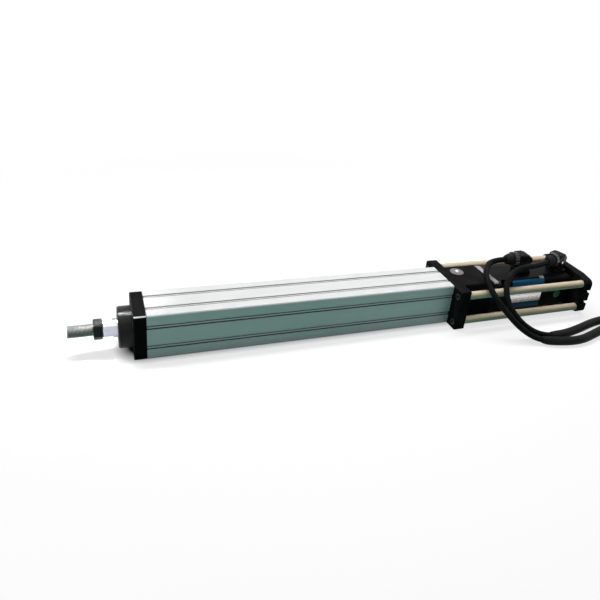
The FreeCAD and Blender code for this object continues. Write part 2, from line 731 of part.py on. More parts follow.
def bearing_lock_nut():
    """Slotted nut that clamps the inner races."""
    x1 = x_bearing_end + LOCK_NUT_LENGTH
    nut = ring(x_bearing_end, x1, LOCK_NUT_RADIUS, JOURNAL_RADIUS + SLIP)
    slots = []
    for quarter in range(4):
        slot = slab(x1 - LOCK_NUT_LENGTH / 2, x1 + OVERCUT, -LOCK_NUT_SLOT / 2, LOCK_NUT_SLOT / 2,
                    LOCK_NUT_RADIUS - LOCK_NUT_SLOT / 2, LOCK_NUT_RADIUS + OVERCUT)
        slot.rotate(V(0, 0, 0), ALONG, 90 * quarter)
        slots.append(slot)
    return nut.cut(slots)


def cover_screw_places():
    """The bearing cover's screws, on the diagonals."""
    reach = COVER_SCREW_RING * math.sqrt(0.5)
    return corners(2 * reach, 2 * reach)


def bearing_cover():
    """Cover on the flange's rear face that holds the outer races."""
    bore = LOCK_NUT_RADIUS + COVER_BORE_GAP
    cover = turned([
        (x_box, BEARING_RADIUS + SLIP), (x_box, COVER_RADIUS),
        (x_box + COVER_LENGTH - EDGE_CHAMFER, COVER_RADIUS),
        (x_box + COVER_LENGTH, COVER_RADIUS - EDGE_CHAMFER),
        (x_box + COVER_LENGTH, bore), (x_bearing_end, bore),
        (x_bearing_end, BEARING_RADIUS + SLIP),
    ])
    holes = [bar(x_box - OVERCUT, x_box + COVER_LENGTH + OVERCUT, COVER_SCREW_RADIUS + SLIP, y, z)
             for y, z in cover_screw_places()]
    return cover.cut(holes)


def bearing_cover_screws():
    """Small socket screws of the bearing cover."""
    length = COVER_LENGTH + COVER_SCREW_GRIP
    return [cap_screw(x_box + COVER_LENGTH, -1, COVER_SCREW_RADIUS, length, COVER_SCREW_HEAD_RADIUS,
                      COVER_SCREW_HEAD_LENGTH, COVER_SCREW_KEY, COVER_SCREW_KEY_DEPTH, y, z)
            for y, z in cover_screw_places()]


def sector(x0, x1, inner, outer, angle, middle):
    """Part of a ring, the given angle wide about a middle direction."""
    wedge = Part.makeCylinder(outer, x1 - x0, V(x0, 0, 0), ALONG, angle)
    wedge.rotate(V(0, 0, 0), ALONG, middle - angle / 2)
    return wedge.cut(bar(x0 - OVERCUT, x1 + OVERCUT, inner))


def coupling_hub(x0, x1, bore, x_jaw, first):
    """Coupling half: a hub and its three jaws."""
    hub = bar(x0, x1, HUB_RADIUS)
    jaw0, jaw1 = min(x_jaw, x_jaw + JAW_LENGTH), max(x_jaw, x_jaw + JAW_LENGTH)
    jaws = [sector(jaw0, jaw1, JAW_INNER_RADIUS, HUB_RADIUS, JAW_ANGLE, first + 360 / JAW_COUNT * k)
            for k in range(JAW_COUNT)]
    return hub.fuse(jaws).cut(bar(x0 - OVERCUT, x1 + OVERCUT, bore)).removeSplitter()


def coupling_hub_front():
    """Coupling half on the screw."""
    return coupling_hub(x_hub, x_spider, SHAFT_END_RADIUS + SLIP, x_spider, 0)


def coupling_hub_rear():
    """Coupling half on the motor shaft, its jaws between those of the front half."""
    x_face = x_spider + SPIDER_LENGTH
    return coupling_hub(x_face, x_hub_end, SHAFT_RADIUS + SLIP, x_face - JAW_LENGTH, 180 / JAW_COUNT)


def coupling_spider():
    """Elastic star between the jaws."""
    x0, x1 = x_spider + AIR / 2, x_spider + SPIDER_LENGTH - AIR / 2
    star = bar(x0, x1, SPIDER_RING_RADIUS)
    arms = [sector(x0, x1, SPIDER_RING_RADIUS - OVERCUT, SPIDER_RADIUS, SPIDER_ARM_ANGLE,
                   180 / JAW_COUNT * (k + 0.5))
            for k in range(2 * JAW_COUNT)]
    return star.fuse(arms).cut(bar(x0 - OVERCUT, x1 + OVERCUT, SHAFT_RADIUS + AIR)).removeSplitter()


# Rear flange, coupling box, tie rods and rear plate

def box_screw_places():
    """The screws that hold the coupling box to the flange."""
    return corners(2 * BOX_SCREW_Y, 2 * BOX_SCREW_Z)


def rear_flange():
    """Wide flange with the bearing seat, tapped for the body bolts and bored for the tie rods."""
    flange = block(x_flange, x_box, FLANGE_WIDTH, BODY_SIDE, FLANGE_CORNER)
    flange = flange.makeChamfer(EDGE_CHAMFER, end_edges(flange, x_flange, 0) + end_edges(flange, x_box, 0))
    cuts = [
        bar(x_flange - OVERCUT, x_box, SCREW_RADIUS + SCREW_GAP),
        bar(x_bearing, x_box + OVERCUT, BEARING_RADIUS + SLIP),
    ]
    for y, z in corners(BOLT_PITCH, BOLT_PITCH):
        cuts.append(bar(x_flange - OVERCUT, x_flange + BODY_BOLT_GRIP + AIR, BODY_BOLT_RADIUS + SLIP, y, z))
    sink = TIE_SCREW_HEAD_LENGTH - TIE_SCREW_PROUD
    for y, z in corners(TIE_PITCH_Y, TIE_PITCH_Z):
        cuts.append(bar(x_flange - OVERCUT, x_flange + sink, TIE_SCREW_HEAD_RADIUS + AIR, y, z))
        cuts.append(bar(x_flange, x_box + OVERCUT, TIE_SCREW_RADIUS + SLIP, y, z))
    for y, z in box_screw_places():
        cuts.append(bar(x_flange - OVERCUT, x_flange + BOX_SCREW_HEAD_LENGTH + AIR,
                        BOX_SCREW_HEAD_RADIUS + AIR, y, z))
        cuts.append(bar(x_flange, x_box + OVERCUT, BOX_SCREW_RADIUS + SLIP, y, z))
    for y, z in cover_screw_places():
        cuts.append(bar(x_box - COVER_SCREW_GRIP - AIR, x_box + OVERCUT, COVER_SCREW_RADIUS + SLIP, y, z))
    return flange.cut(cuts)


def box_screws():
    """Screws from the flange into the coupling box."""
    x_seat = x_flange + BOX_SCREW_HEAD_LENGTH + AIR
    length = x_box + BOX_SCREW_GRIP - x_seat
    return [cap_screw(x_seat, 1, BOX_SCREW_RADIUS, length, BOX_SCREW_HEAD_RADIUS,
                      BOX_SCREW_HEAD_LENGTH, BOX_SCREW_KEY, BOX_SCREW_KEY_DEPTH, y, z)
            for y, z in box_screw_places()]


def access_hole(radius, z0, z1):
    """An upright cylinder on the axis of the access plug."""
    return Part.makeCylinder(radius, z1 - z0, V(x_box + ACCESS_FROM_FLANGE, ACCESS_Y, z0), UP)


def coupling_box():
    """Square box about the coupling, open to the flange and the motor, with an access hole on top."""
    box = block(x_box, x_motor, BOX_SIDE, BOX_SIDE, BOX_CORNER)
    box = box.makeChamfer(EDGE_CHAMFER, end_edges(box, x_motor, 0))
    cuts = [
        bar(x_box - OVERCUT, x_motor + OVERCUT, BOX_BORE_RADIUS),
        bar(x_motor - PILOT_LENGTH - HUB_GAP, x_motor + OVERCUT, PILOT_RADIUS + SLIP),
        access_hole(ACCESS_RADIUS + SLIP, 0, BOX_SIDE),
    ]
    for y, z in box_screw_places():
        cuts.append(bar(x_box - OVERCUT, x_box + BOX_SCREW_GRIP + AIR, BOX_SCREW_RADIUS + SLIP, y, z))
    for y, z in corners(MOTOR_BOLT_PITCH, MOTOR_BOLT_PITCH):
        cuts.append(bar(x_motor - MOTOR_SCREW_GRIP - AIR, x_motor + OVERCUT, MOTOR_SCREW_RADIUS + SLIP, y, z))
    return box.cut(cuts)


def access_plug():
    """Round plug with a hexagon socket, screwed into the top of the coupling box."""
    top = BOX_SIDE / 2
    head = access_hole(ACCESS_HEAD_RADIUS, top, top + ACCESS_HEAD_LENGTH)
    head = head.makeChamfer(ACCESS_HEAD_LENGTH / 2, [head.Edges[0]])
    stem = access_hole(ACCESS_RADIUS, top - ACCESS_DEPTH, top)
    socket = hexagon(0, ACCESS_KEY_DEPTH, ACCESS_KEY)
    socket.rotate(V(0, 0, 0), V(0, 1, 0), 90)
    socket.translate(V(x_box + ACCESS_FROM_FLANGE, ACCESS_Y, top + ACCESS_HEAD_LENGTH))
    return head.fuse(stem).cut(socket).removeSplitter()


def tie_rod(y, z):
    """Round tie rod between the flange and the rear plate, tapped at both ends."""
    rod = bar(x_box, x_plate, TIE_ROD_RADIUS, y, z)
    rod = rod.makeChamfer(TIE_ROD_CHAMFER, end_edges(rod, x_box, 0) + end_edges(rod, x_plate, 0))
    hole = TIE_SCREW_RADIUS + SLIP
    front = bar(x_box - OVERCUT, x_box + TIE_SCREW_GRIP + AIR, hole, y, z)
    rear = bar(x_plate - TIE_SCREW_GRIP - AIR, x_plate + OVERCUT, hole, y, z)
    return rod.cut([front, rear])


def tie_rod_screws(x_seat, way, length):
    """Four socket screws that hold the tie rods at one end."""
    return [cap_screw(x_seat, way, TIE_SCREW_RADIUS, length, TIE_SCREW_HEAD_RADIUS,
                      TIE_SCREW_HEAD_LENGTH, TIE_SCREW_KEY, TIE_SCREW_KEY_DEPTH, y, z)
            for y, z in corners(TIE_PITCH_Y, TIE_PITCH_Z)]


def plate_side(sy):
    """Outline of one side of the rear plate, from its top edge to its bottom edge."""
    ear_y, ear_z = TIE_PITCH_Y / 2, TIE_PITCH_Z / 2
    shoulder_y, reach = PLATE_CENTRE_WIDTH / 2, TIE_PITCH_Y / 2 + EAR_RADIUS
    away_y, away_z = ear_y - shoulder_y, ear_z - HALF
    distance = math.hypot(away_y, away_z)
    touch = math.atan2(-away_z, -away_y) - math.acos(EAR_RADIUS / distance)
    at = [touch, touch / 2, 0]
    arc = [(ear_y + EAR_RADIUS * math.cos(a), ear_z + EAR_RADIUS * math.sin(a)) for a in at]
    root = reach - NOTCH_DEPTH + NOTCH_RADIUS
    lips = [(reach, NOTCH_HEIGHT + NOTCH_RADIUS), (root, NOTCH_HEIGHT + NOTCH_RADIUS),
            (reach - NOTCH_DEPTH, NOTCH_HEIGHT), (root, NOTCH_HEIGHT - NOTCH_RADIUS),
            (reach, NOTCH_HEIGHT - NOTCH_RADIUS)]

    def place(point, sz):
        return V(0, sy * point[0], sz * point[1])

    upper = [("line", (shoulder_y, HALF), arc[0]), ("arc", arc[0], arc[1], arc[2]),
             ("line", arc[2], lips[0]), ("line", lips[0], lips[1]),
             ("arc", lips[1], lips[2], lips[3]), ("line", lips[3], lips[4])]
    edges = [[place(p, 1) for p in step[1:]] for step in upper]
    edges.append([place(lips[4], 1), place(lips[4], -1)])
    edges += [[place(p, -1) for p in reversed(step[1:])] for step in reversed(upper)]
    return [Part.LineSegment(*e) if len(e) == 2 else Part.Arc(*e) for e in edges]


def rear_plate():
    """Plate behind the motor: ears round the tie rods, and two notches in each side."""
    right, left = plate_side(1), plate_side(-1)
    top = Part.LineSegment(left[0].StartPoint, right[0].StartPoint)
    foot = Part.LineSegment(right[-1].EndPoint, left[-1].EndPoint)
    outline = [top] + right + [foot] + left
    wire = Part.Wire(Part.__sortEdges__([edge.toShape() for edge in outline]))
    face = Part.Face(wire)
    face.translate(V(x_plate, 0, 0))
    plate = face.extrude(V(PLATE_LENGTH, 0, 0))
    plate = plate.makeChamfer(EDGE_CHAMFER, end_edges(plate, x_plate, 0) + end_edges(plate, x_rear, 0))
    cuts = []
    sink = TIE_SCREW_HEAD_LENGTH + AIR
    for y, z in corners(TIE_PITCH_Y, TIE_PITCH_Z):
        cuts.append(bar(x_rear - sink, x_rear + OVERCUT, TIE_SCREW_HEAD_RADIUS + AIR, y, z))
        cuts.append(bar(x_plate - OVERCUT, x_rear, TIE_SCREW_RADIUS + SLIP, y, z))
    for y, z in corners(BOLT_PITCH, BOLT_PITCH):
        cuts.append(bar(x_plate - OVERCUT, x_rear + OVERCUT, PLATE_TAP_RADIUS, y, z))
    return plate.cut(cuts)


# Motor

def motor_flange():
    """Bare metal end plate of the motor, with its pilot and front bearing seat."""
    plate = block(x_motor, x_can, MOTOR_SIDE, MOTOR_SIDE, MOTOR_FLANGE_CORNER)
    plate = plate.makeChamfer(EDGE_CHAMFER, end_edges(plate, x_motor, 0) + end_edges(plate, x_can, 0))
    plate = plate.fuse(bar(x_motor - PILOT_LENGTH, x_motor, PILOT_RADIUS))
    cuts = [
        bar(x_motor - PILOT_LENGTH - OVERCUT, x_can, SHAFT_SEAT_RADIUS + AIR),
        bar(x_can - FRONT_BEARING_WIDTH, x_can + OVERCUT, FRONT_BEARING_RADIUS + SLIP),
    ]
    for y, z in corners(MOTOR_BOLT_PITCH, MOTOR_BOLT_PITCH):
        cuts.append(bar(x_motor - OVERCUT, x_can + OVERCUT, MOTOR_SCREW_RADIUS + SLIP, y, z))
    return plate.cut(cuts)


def motor_screws():
    """Screws through the motor's flange into the coupling box."""
    length = MOTOR_FLANGE_LENGTH + MOTOR_SCREW_GRIP
    return [cap_screw(x_can, -1, MOTOR_SCREW_RADIUS, length, MOTOR_SCREW_HEAD_RADIUS,
                      MOTOR_SCREW_HEAD_LENGTH, MOTOR_SCREW_KEY, MOTOR_SCREW_KEY_DEPTH, y, z)
            for y, z in corners(MOTOR_BOLT_PITCH, MOTOR_BOLT_PITCH)]


def motor_can():
    """Square stator housing, notched at its front corners to reach the flange's screws."""
    can = block(x_can, x_cover, CAN_SIDE, CAN_SIDE, CAN_CORNER)
    can = can.makeChamfer(EDGE_CHAMFER, end_edges(can, x_cover, 0))
    cuts = [bar(x_can - OVERCUT, x_cover + OVERCUT, CAN_BORE_RADIUS)]
    for y, z in corners(MOTOR_BOLT_PITCH, MOTOR_BOLT_PITCH):
        cuts.append(bar(x_can - OVERCUT, x_can + CAN_NOTCH_LENGTH, CAN_NOTCH_RADIUS, y, z))
        reach_y, reach_z = math.copysign(CAN_SIDE, y), math.copysign(CAN_SIDE, z)
        cuts.append(slab(x_can - OVERCUT, x_can + CAN_NOTCH_LENGTH, min(y, reach_y), max(y, reach_y),
                         min(z, reach_z), max(z, reach_z)))
    return can.cut(cuts)


def motor_end_shield():
    """Round shield inside the can that seats the rear bearing."""
    shield = bar(x_cover - SHIELD_LENGTH, x_cover, CAN_BORE_RADIUS - SLIP)
    cuts = [
        bar(x_cover - SHIELD_LENGTH - OVERCUT, x_cover + OVERCUT, SHAFT_REAR_RADIUS + SHIELD_GAP),
        bar(x_rear_bearing, x_cover + OVERCUT, REAR_BEARING_RADIUS + SLIP),
    ]
    return shield.cut(cuts)


def motor_bearings():
    """Front and rear bearings of the motor shaft."""
    front = ring(x_can - FRONT_BEARING_WIDTH, x_can, FRONT_BEARING_RADIUS, SHAFT_SEAT_RADIUS + RUN)
    rear = ring(x_rear_bearing, x_cover, REAR_BEARING_RADIUS, SHAFT_REAR_RADIUS + RUN)
    return [front, rear]


def stator_core():
    """Stator stack with its winding slots open to the rotor."""
    x1 = x_stator + STATOR_LENGTH
    core = ring(x_stator, x1, CAN_BORE_RADIUS - SLIP, STATOR_INNER_RADIUS)
    slots = []
    for k in range(STATOR_SLOTS):
        slot = slab(x_stator - OVERCUT, x1 + OVERCUT, -STATOR_SLOT_WIDTH / 2, STATOR_SLOT_WIDTH / 2,
                    STATOR_INNER_RADIUS - OVERCUT, STATOR_INNER_RADIUS + STATOR_SLOT_DEPTH)
        slot.rotate(V(0, 0, 0), ALONG, 360 / STATOR_SLOTS * k)
        slots.append(slot)
    return core.cut(slots)


def stator_windings():
    """End turns of the windings, before and behind the stack."""
    outer = CAN_BORE_RADIUS - WINDING_GAP
    x1 = x_stator + STATOR_LENGTH
    spans = [(x_stator - WINDING_LENGTH, x_stator), (x1, x1 + WINDING_LENGTH)]
    return [ring(x0, x_end, outer, outer - WINDING_WALL) for x0, x_end in spans]


def motor_shaft():
    """Stepped motor shaft from the coupling to the encoder."""
    x_front = x_spider + SHAFT_END_GAP
    x_seat = x_motor - PILOT_LENGTH + SHAFT_SEAT_SET
    x_core = x_stator - WINDING_LENGTH
    x_core_end = x_stator + STATOR_LENGTH + WINDING_LENGTH
    x_end = x_disc + ENCODER_HUB_LENGTH
    return turned([
        (x_front, 0), (x_front, SHAFT_RADIUS), (x_seat, SHAFT_RADIUS), (x_seat, SHAFT_SEAT_RADIUS),
        (x_core, SHAFT_SEAT_RADIUS), (x_core, SHAFT_CORE_RADIUS), (x_core_end, SHAFT_CORE_RADIUS),
        (x_core_end, SHAFT_REAR_RADIUS), (x_end, SHAFT_REAR_RADIUS), (x_end, 0),
    ])


def rotor_core():
    """Rotor stack with its magnets."""
    return ring(x_stator, x_stator + STATOR_LENGTH, ROTOR_RADIUS, SHAFT_CORE_RADIUS + SLIP)


def encoder_disc():
    """Encoder disc and its hub on the shaft's rear end."""
    disc = bar(x_disc, x_disc + ENCODER_DISC_LENGTH, ENCODER_DISC_RADIUS)
    hub = bar(x_disc, x_disc + ENCODER_HUB_LENGTH, ENCODER_HUB_RADIUS)
    hole = bar(x_disc - OVERCUT, x_disc + ENCODER_HUB_LENGTH + OVERCUT, SHAFT_REAR_RADIUS + SLIP)
    return disc.fuse(hub).cut(hole).removeSplitter()


def motor_rear_cover():
    """Hollow cover over the encoder."""
    height = COVER_BOX_SIDE + COVER_BOX_DROP
    cover = block(x_cover, x_motor_end, COVER_BOX_SIDE, height, COVER_BOX_CORNER)
    cover = cover.makeChamfer(EDGE_CHAMFER, end_edges(cover, x_motor_end, 0))
    walls = 2 * COVER_BOX_WALL
    hollow = block(x_cover - OVERCUT, x_motor_end - COVER_BOX_WALL, COVER_BOX_SIDE - walls, height - walls,
                   COVER_BOX_CORNER - COVER_BOX_WALL)
    cover = cover.cut(hollow)
    cover.translate(V(0, 0, -COVER_BOX_DROP / 2))
    return cover


# Sockets, plugs and leads

def upright(shape, seat):
    """A shape drawn about station 0 on its seat, turned and set down on that seat."""
    x, z, turn = seat
    shape.rotate(V(0, 0, 0), UP, turn)
    shape.translate(V(x, 0, z))
    return shape


def socket():
    """Square socket with an upright barrel."""
    base = section(SOCKET_SIDE, SOCKET_SIDE, SOCKET_CORNER).extrude(V(SOCKET_BASE_HEIGHT, 0, 0))
    base.rotate(V(0, 0, 0), V(0, 1, 0), -90)
    barrel = Part.makeCylinder(SOCKET_BARREL_RADIUS, SOCKET_BARREL_HEIGHT, V(0, 0, SOCKET_BASE_HEIGHT))
    return base.fuse(barrel).removeSplitter()


def elbow_plug():
    """Elbow plug: a skirt over the socket and a body that turns the lead to the front."""
    outline = [(-PLUG_FRONT, PLUG_FLOOR), (-PLUG_FRONT, PLUG_TOP), (PLUG_SLOPE_X, PLUG_TOP),
               (PLUG_REAR, PLUG_TOP - PLUG_SLOPE_Z), (PLUG_REAR, PLUG_FLOOR)]
    points = [V(x, -PLUG_WIDTH / 2, z) for x, z in outline]
    body = Part.Face(Part.makePolygon(points + points[:1])).extrude(V(0, PLUG_WIDTH, 0))
    long_edges = [e for e in body.Edges if e.CenterOfMass.z > PLUG_FLOOR + AIR]
    body = body.makeFillet(PLUG_ROUND, [e for e in long_edges if e.CenterOfMass.x > AIR - PLUG_FRONT])
    skirt = Part.makeCylinder(PLUG_SKIRT_RADIUS, PLUG_FLOOR - SOCKET_BASE_HEIGHT, V(0, 0, SOCKET_BASE_HEIGHT))
    well = Part.makeCylinder(SOCKET_BARREL_RADIUS + SLIP, SOCKET_BARREL_HEIGHT + SLIP,
                             V(0, 0, SOCKET_BASE_HEIGHT))
    return body.fuse([skirt] + plug_ribs()).cut(well).removeSplitter()


def plug_ribs():
    """Grip ribs round the top and sides of an elbow plug."""
    height = PLUG_TOP + PLUG_RIB - PLUG_FLOOR
    ribs = []
    for k in range(PLUG_RIB_COUNT):
        x0 = -PLUG_FRONT + PLUG_RIB_SET + PLUG_RIB_PITCH * k
        rib = block(x0, x0 + PLUG_RIB_LENGTH, PLUG_WIDTH + 2 * PLUG_RIB, height, PLUG_ROUND)
        rib.translate(V(0, 0, PLUG_FLOOR + height / 2))
        ribs.append(rib)
    return ribs


def plug_ring():
    """Fluted ring nut between the plug and its gland."""
    nut = bar(-PLUG_FRONT - RING_NUT_LENGTH, -PLUG_FRONT, RING_NUT_RADIUS)
    flutes = []
    for k in range(RING_NUT_FLUTES):
        angle = 2 * math.pi * k / RING_NUT_FLUTES
        flutes.append(bar(-PLUG_FRONT - RING_NUT_LENGTH - OVERCUT, -PLUG_FRONT + OVERCUT,
                          RING_NUT_FLUTE_RADIUS, RING_NUT_RADIUS * math.cos(angle),
                          RING_NUT_RADIUS * math.sin(angle)))
    nut = nut.cut(flutes)
    nut.translate(V(0, 0, LEAD_HEIGHT))
    return nut


def plug_gland():
    """Tapered gland that the lead leaves by."""
    x0 = -PLUG_FRONT - RING_NUT_LENGTH
    gland = turned([
        (x0, 0), (x0, GLAND_RADIUS), (x0 - GLAND_STRAIGHT, GLAND_RADIUS),
        (x0 - GLAND_LENGTH, GLAND_TIP_RADIUS), (x0 - GLAND_LENGTH, 0),
    ])
    gland.translate(V(0, 0, LEAD_HEIGHT))
    return gland


def seats():
    """The two sockets' places, power first: station, height and the plug's turn."""
    return [(x_power_socket, CAN_SIDE / 2, POWER_PLUG_TURN),
            (x_encoder_socket, COVER_BOX_SIDE / 2, ENCODER_PLUG_TURN)]


def gland_tip(seat):
    """Where a lead leaves its gland, in the row's frame."""
    x, z, turn = seat
    reach = PLUG_FRONT + RING_NUT_LENGTH + GLAND_LENGTH
    angle = math.radians(turn)
    return V(x - reach * math.cos(angle), -reach * math.sin(angle), z + LEAD_HEIGHT) + ORIGIN


def tube(points, name):
    """A lead along straight runs joined by arcs as large as the runs allow."""
    edges, radii, start = [], [], points[0]
    for before, here, after in zip(points, points[1:], points[2:]):
        back, ahead = before - here, after - here
        run = min(back.Length, ahead.Length)
        back.normalize()
        ahead.normalize()
        half_turn = (math.pi - back.getAngle(ahead)) / 2
        radius = ARC_SHARE * run / math.tan(half_turn)
        inward = (back + ahead).normalize()
        enter, leave = here + back * (ARC_SHARE * run), here + ahead * (ARC_SHARE * run)
        middle = here + inward * (radius / math.cos(half_turn) - radius)
        edges.append(Part.LineSegment(start, enter).toShape())
        edges.append(Part.Arc(enter, middle, leave).toShape())
        radii.append(radius)
        start = leave
    edges.append(Part.LineSegment(start, points[-1]).toShape())
    path = Part.Wire(edges)
    circle = Part.Wire([Part.makeCircle(LEAD_RADIUS, points[0], points[1] - points[0])])
    lead = path.makePipeShell([circle], True, True)
    print(name, "length", round(path.Length, 1), "volume share",
          round(lead.Volume / (math.pi * LEAD_RADIUS ** 2 * path.Length), 4),
          "radii", [round(r) for r in radii])
    return lead


def coil_gate(turn, side):
    """Where a lead meets the coil's outer face, beside the turn that it joins."""
    outer = COIL_OUTER_TURN + LEAD_RADIUS + COIL_MARGIN
    return COIL_X - math.sqrt(outer ** 2 - turn ** 2), COIL_Y + side * turn


def lead(seat, run, turn, tail, end, name):
    """The free stretches of one lead: gland to coil, and coil to far end."""
    x_in, y_in = coil_gate(turn, 1)
    x_out, y_out = coil_gate(turn, -1)
    height = LEAD_RADIUS + (COIL_LAYERS - 1) * COIL_LAYER_HEIGHT
    first = [gland_tip(seat)] + [V(*p) for p in run] + [V(x_in, y_in, LEAD_RADIUS)]
    last = [V(x_out, y_out, height)] + [V(*p) for p in tail] + [end]
    return [tube(first, name + " run"), tube(last, name + " tail")]


def cable_coil():
    """Outer shape of the two leads' put-away turns."""
    outer = COIL_OUTER_TURN + LEAD_RADIUS + COIL_MARGIN
    inner = COIL_INNER_TURN - LEAD_RADIUS - COIL_MARGIN
    height = 2 * LEAD_RADIUS + (COIL_LAYERS - 1) * COIL_LAYER_HEIGHT
    centre = V(COIL_X, COIL_Y, 0)
    coil = Part.makeCylinder(outer, height, centre)
    return coil.cut(Part.makeCylinder(inner, height + 2 * OVERCUT, centre - V(0, 0, OVERCUT)))


def coil_tie():
    """Strap round the coil's turns, above the bench."""
    inner = COIL_INNER_TURN - LEAD_RADIUS - COIL_MARGIN
    outer = COIL_OUTER_TURN + LEAD_RADIUS + COIL_MARGIN
    height = 2 * LEAD_RADIUS + (COIL_LAYERS - 1) * COIL_LAYER_HEIGHT
    strap = slab(inner - TIE_WALL, outer + TIE_WALL, -TIE_WIDTH / 2, TIE_WIDTH / 2, 0, height + TIE_WALL)
    strap.rotate(V(0, 0, 0), UP, TIE_ANGLE)
    strap.translate(V(COIL_X, COIL_Y, 0))
    return strap.cut(cable_coil())


def metal_plug():
    """Round metal connector on the power lead, lying on the bench, and its coupling ring."""
    clamp, body = METAL_CLAMP_LENGTH, METAL_CLAMP_LENGTH + METAL_BODY_LENGTH
    neck = METAL_BODY_RADIUS - METAL_NECK_STEP
    x_ring = body - METAL_RING_LENGTH + METAL_RING_SET
    x_neck = x_ring - METAL_NECK_LEAD
    shell = turned([
        (0, 0), (0, METAL_CLAMP_RADIUS), (clamp - METAL_CONE_LENGTH, METAL_CLAMP_RADIUS),
        (clamp, METAL_BODY_RADIUS), (x_neck, METAL_BODY_RADIUS), (x_neck, neck), (body, neck), (body, 0),
    ])
    nut = ring(x_ring, x_ring + METAL_RING_LENGTH, METAL_RING_RADIUS, neck + SLIP)
    placed = []
    for shape in (shell, nut):
        shape.rotate(V(0, 0, 0), UP, 180)
        shape.translate(V(METAL_PLUG_X, METAL_PLUG_Y, METAL_RING_RADIUS))
        placed.append(shape)
    return placed


def drive_plug():
    """Flat moulded hood on the encoder lead, lying on the bench, and its metal shell."""
    half_neck, half = HOOD_NECK_WIDTH / 2, HOOD_WIDTH / 2
    outline = [(0, half_neck), (HOOD_TAPER, half), (HOOD_LENGTH, half), (HOOD_LENGTH, -half),
               (HOOD_TAPER, -half), (0, -half_neck)]
    points = [V(x, y, -HOOD_HEIGHT / 2) for x, y in outline]
    hood = Part.Face(Part.makePolygon(points + points[:1])).extrude(V(0, 0, HOOD_HEIGHT))
    hood = hood.makeFillet(HOOD_ROUND, [e for e in hood.Edges if e.CenterOfMass.x < HOOD_LENGTH - AIR])
    boot = turned([(-BOOT_LENGTH, 0), (-BOOT_LENGTH, LEAD_RADIUS + BOOT_WALL), (0, BOOT_RADIUS), (0, 0)])
    x_shell = HOOD_LENGTH + SHELL_PLATE_LENGTH
    plate = block(HOOD_LENGTH, x_shell, SHELL_PLATE_WIDTH, SHELL_PLATE_HEIGHT, SHELL_CORNER)
    mouth = block(x_shell, x_shell + SHELL_LENGTH, SHELL_WIDTH, SHELL_HEIGHT, SHELL_CORNER)
    placed = []
    for shape in (hood.fuse(boot).removeSplitter(), plate.fuse(mouth).removeSplitter()):
        shape.rotate(V(0, 0, 0), UP, 180)
        shape.translate(V(HOOD_X, HOOD_Y, HOOD_HEIGHT / 2))
        placed.append(shape)
    return placed


# All pieces

os.makedirs("parts", exist_ok=True)

save("body_extrusion", body_extrusion())
save("front_cap", front_cap())
save("body_bolts", *body_bolts())
save("rod_guide", rod_guide())
save("rod_bushes", *rod_bushes())
save("rod_wiper", rod_wiper())
save("end_bumpers", bumper(x_guide_end), bumper(x_flange - BUMPER_LENGTH))

save("piston_rod", piston_rod())
save("rod_end_stud", rod_end_stud())
save("jam_nut", jam_nut())
save("nut_carrier", nut_carrier())
save("guide_rings", *guide_rings())
save("magnet_ring", magnet_ring())
save("guide_keys", *guide_keys())
save("ball_nut", ball_nut())

save("ball_screw", ball_screw())
save("screw_tip_bush", screw_tip_bush())
save("bearing_outer_rings", *bearing_outer_rings())
save("bearing_inner_rings", *bearing_inner_rings())
save("bearing_ball_cages", *bearing_ball_cages())
save("bearing_lock_nut", bearing_lock_nut())
save("bearing_cover", bearing_cover())
save("bearing_cover_screws", *bearing_cover_screws())
save("coupling_hub_front", coupling_hub_front())
save("coupling_spider", coupling_spider())
save("coupling_hub_rear", coupling_hub_rear())

save("rear_flange", rear_flange())
save("box_screws", *box_screws())
save("coupling_box", coupling_box())
save("access_plug", access_plug())
save("tie_rods", *[tie_rod(y, z) for y, z in corners(TIE_PITCH_Y, TIE_PITCH_Z)])
x_front_seat = x_flange + TIE_SCREW_HEAD_LENGTH - TIE_SCREW_PROUD
save("tie_rod_front_screws", *tie_rod_screws(x_front_seat, 1, x_box + TIE_SCREW_GRIP - x_front_seat))
x_rear_seat = x_rear - TIE_SCREW_HEAD_LENGTH - AIR
save("tie_rod_rear_screws", *tie_rod_screws(x_rear_seat, -1, x_rear_seat - x_plate + TIE_SCREW_GRIP))
save("rear_plate", rear_plate())

save("motor_flange", motor_flange())
save("motor_screws", *motor_screws())
save("motor_can", motor_can())
save("motor_end_shield", motor_end_shield())
save("motor_bearings", *motor_bearings())
save("stator_core", stator_core())
save("stator_windings", *stator_windings())
save("motor_shaft", motor_shaft())
save("rotor_core", rotor_core())
save("encoder_disc", encoder_disc())
save("motor_rear_cover", motor_rear_cover())

for seat, use in zip(seats(), ("power", "encoder")):
    save(use + "_socket", upright(socket(), (seat[0], seat[1], 0)))
    save(use + "_plug", upright(elbow_plug(), seat))
save("plug_rings", *[upright(plug_ring(), seat) for seat in seats()])
save("plug_glands", *[upright(plug_gland(), seat) for seat in seats()])

power_seat, encoder_seat = seats()
metal_shell, metal_ring = metal_plug()
hood, hood_shell = drive_plug()
power_end = V(METAL_PLUG_X, METAL_PLUG_Y, METAL_RING_RADIUS)
encoder_end = V(HOOD_X + BOOT_LENGTH, HOOD_Y, HOOD_HEIGHT / 2)
power_lead = lead(power_seat, POWER_RUN, COIL_INNER_TURN, POWER_TAIL, power_end, "power lead")
encoder_lead = lead(encoder_seat, ENCODER_RUN, COIL_OUTER_TURN, ENCODER_TAIL, encoder_end, "encoder lead")
save("power_cable", *power_lead, moved=False)
save("encoder_cable", *encoder_lead, moved=False)
save("cable_coil", cable_coil(), moved=False)
save("coil_tie", coil_tie(), moved=False)
save("power_lead_connector", metal_shell, moved=False)
save("power_lead_ring", metal_ring, moved=False)
save("encoder_lead_hood", hood, moved=False)
save("encoder_lead_shell", hood_shell, moved=False)
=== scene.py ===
import contextlib
import math

import bpy
from mathutils import Matrix, Vector


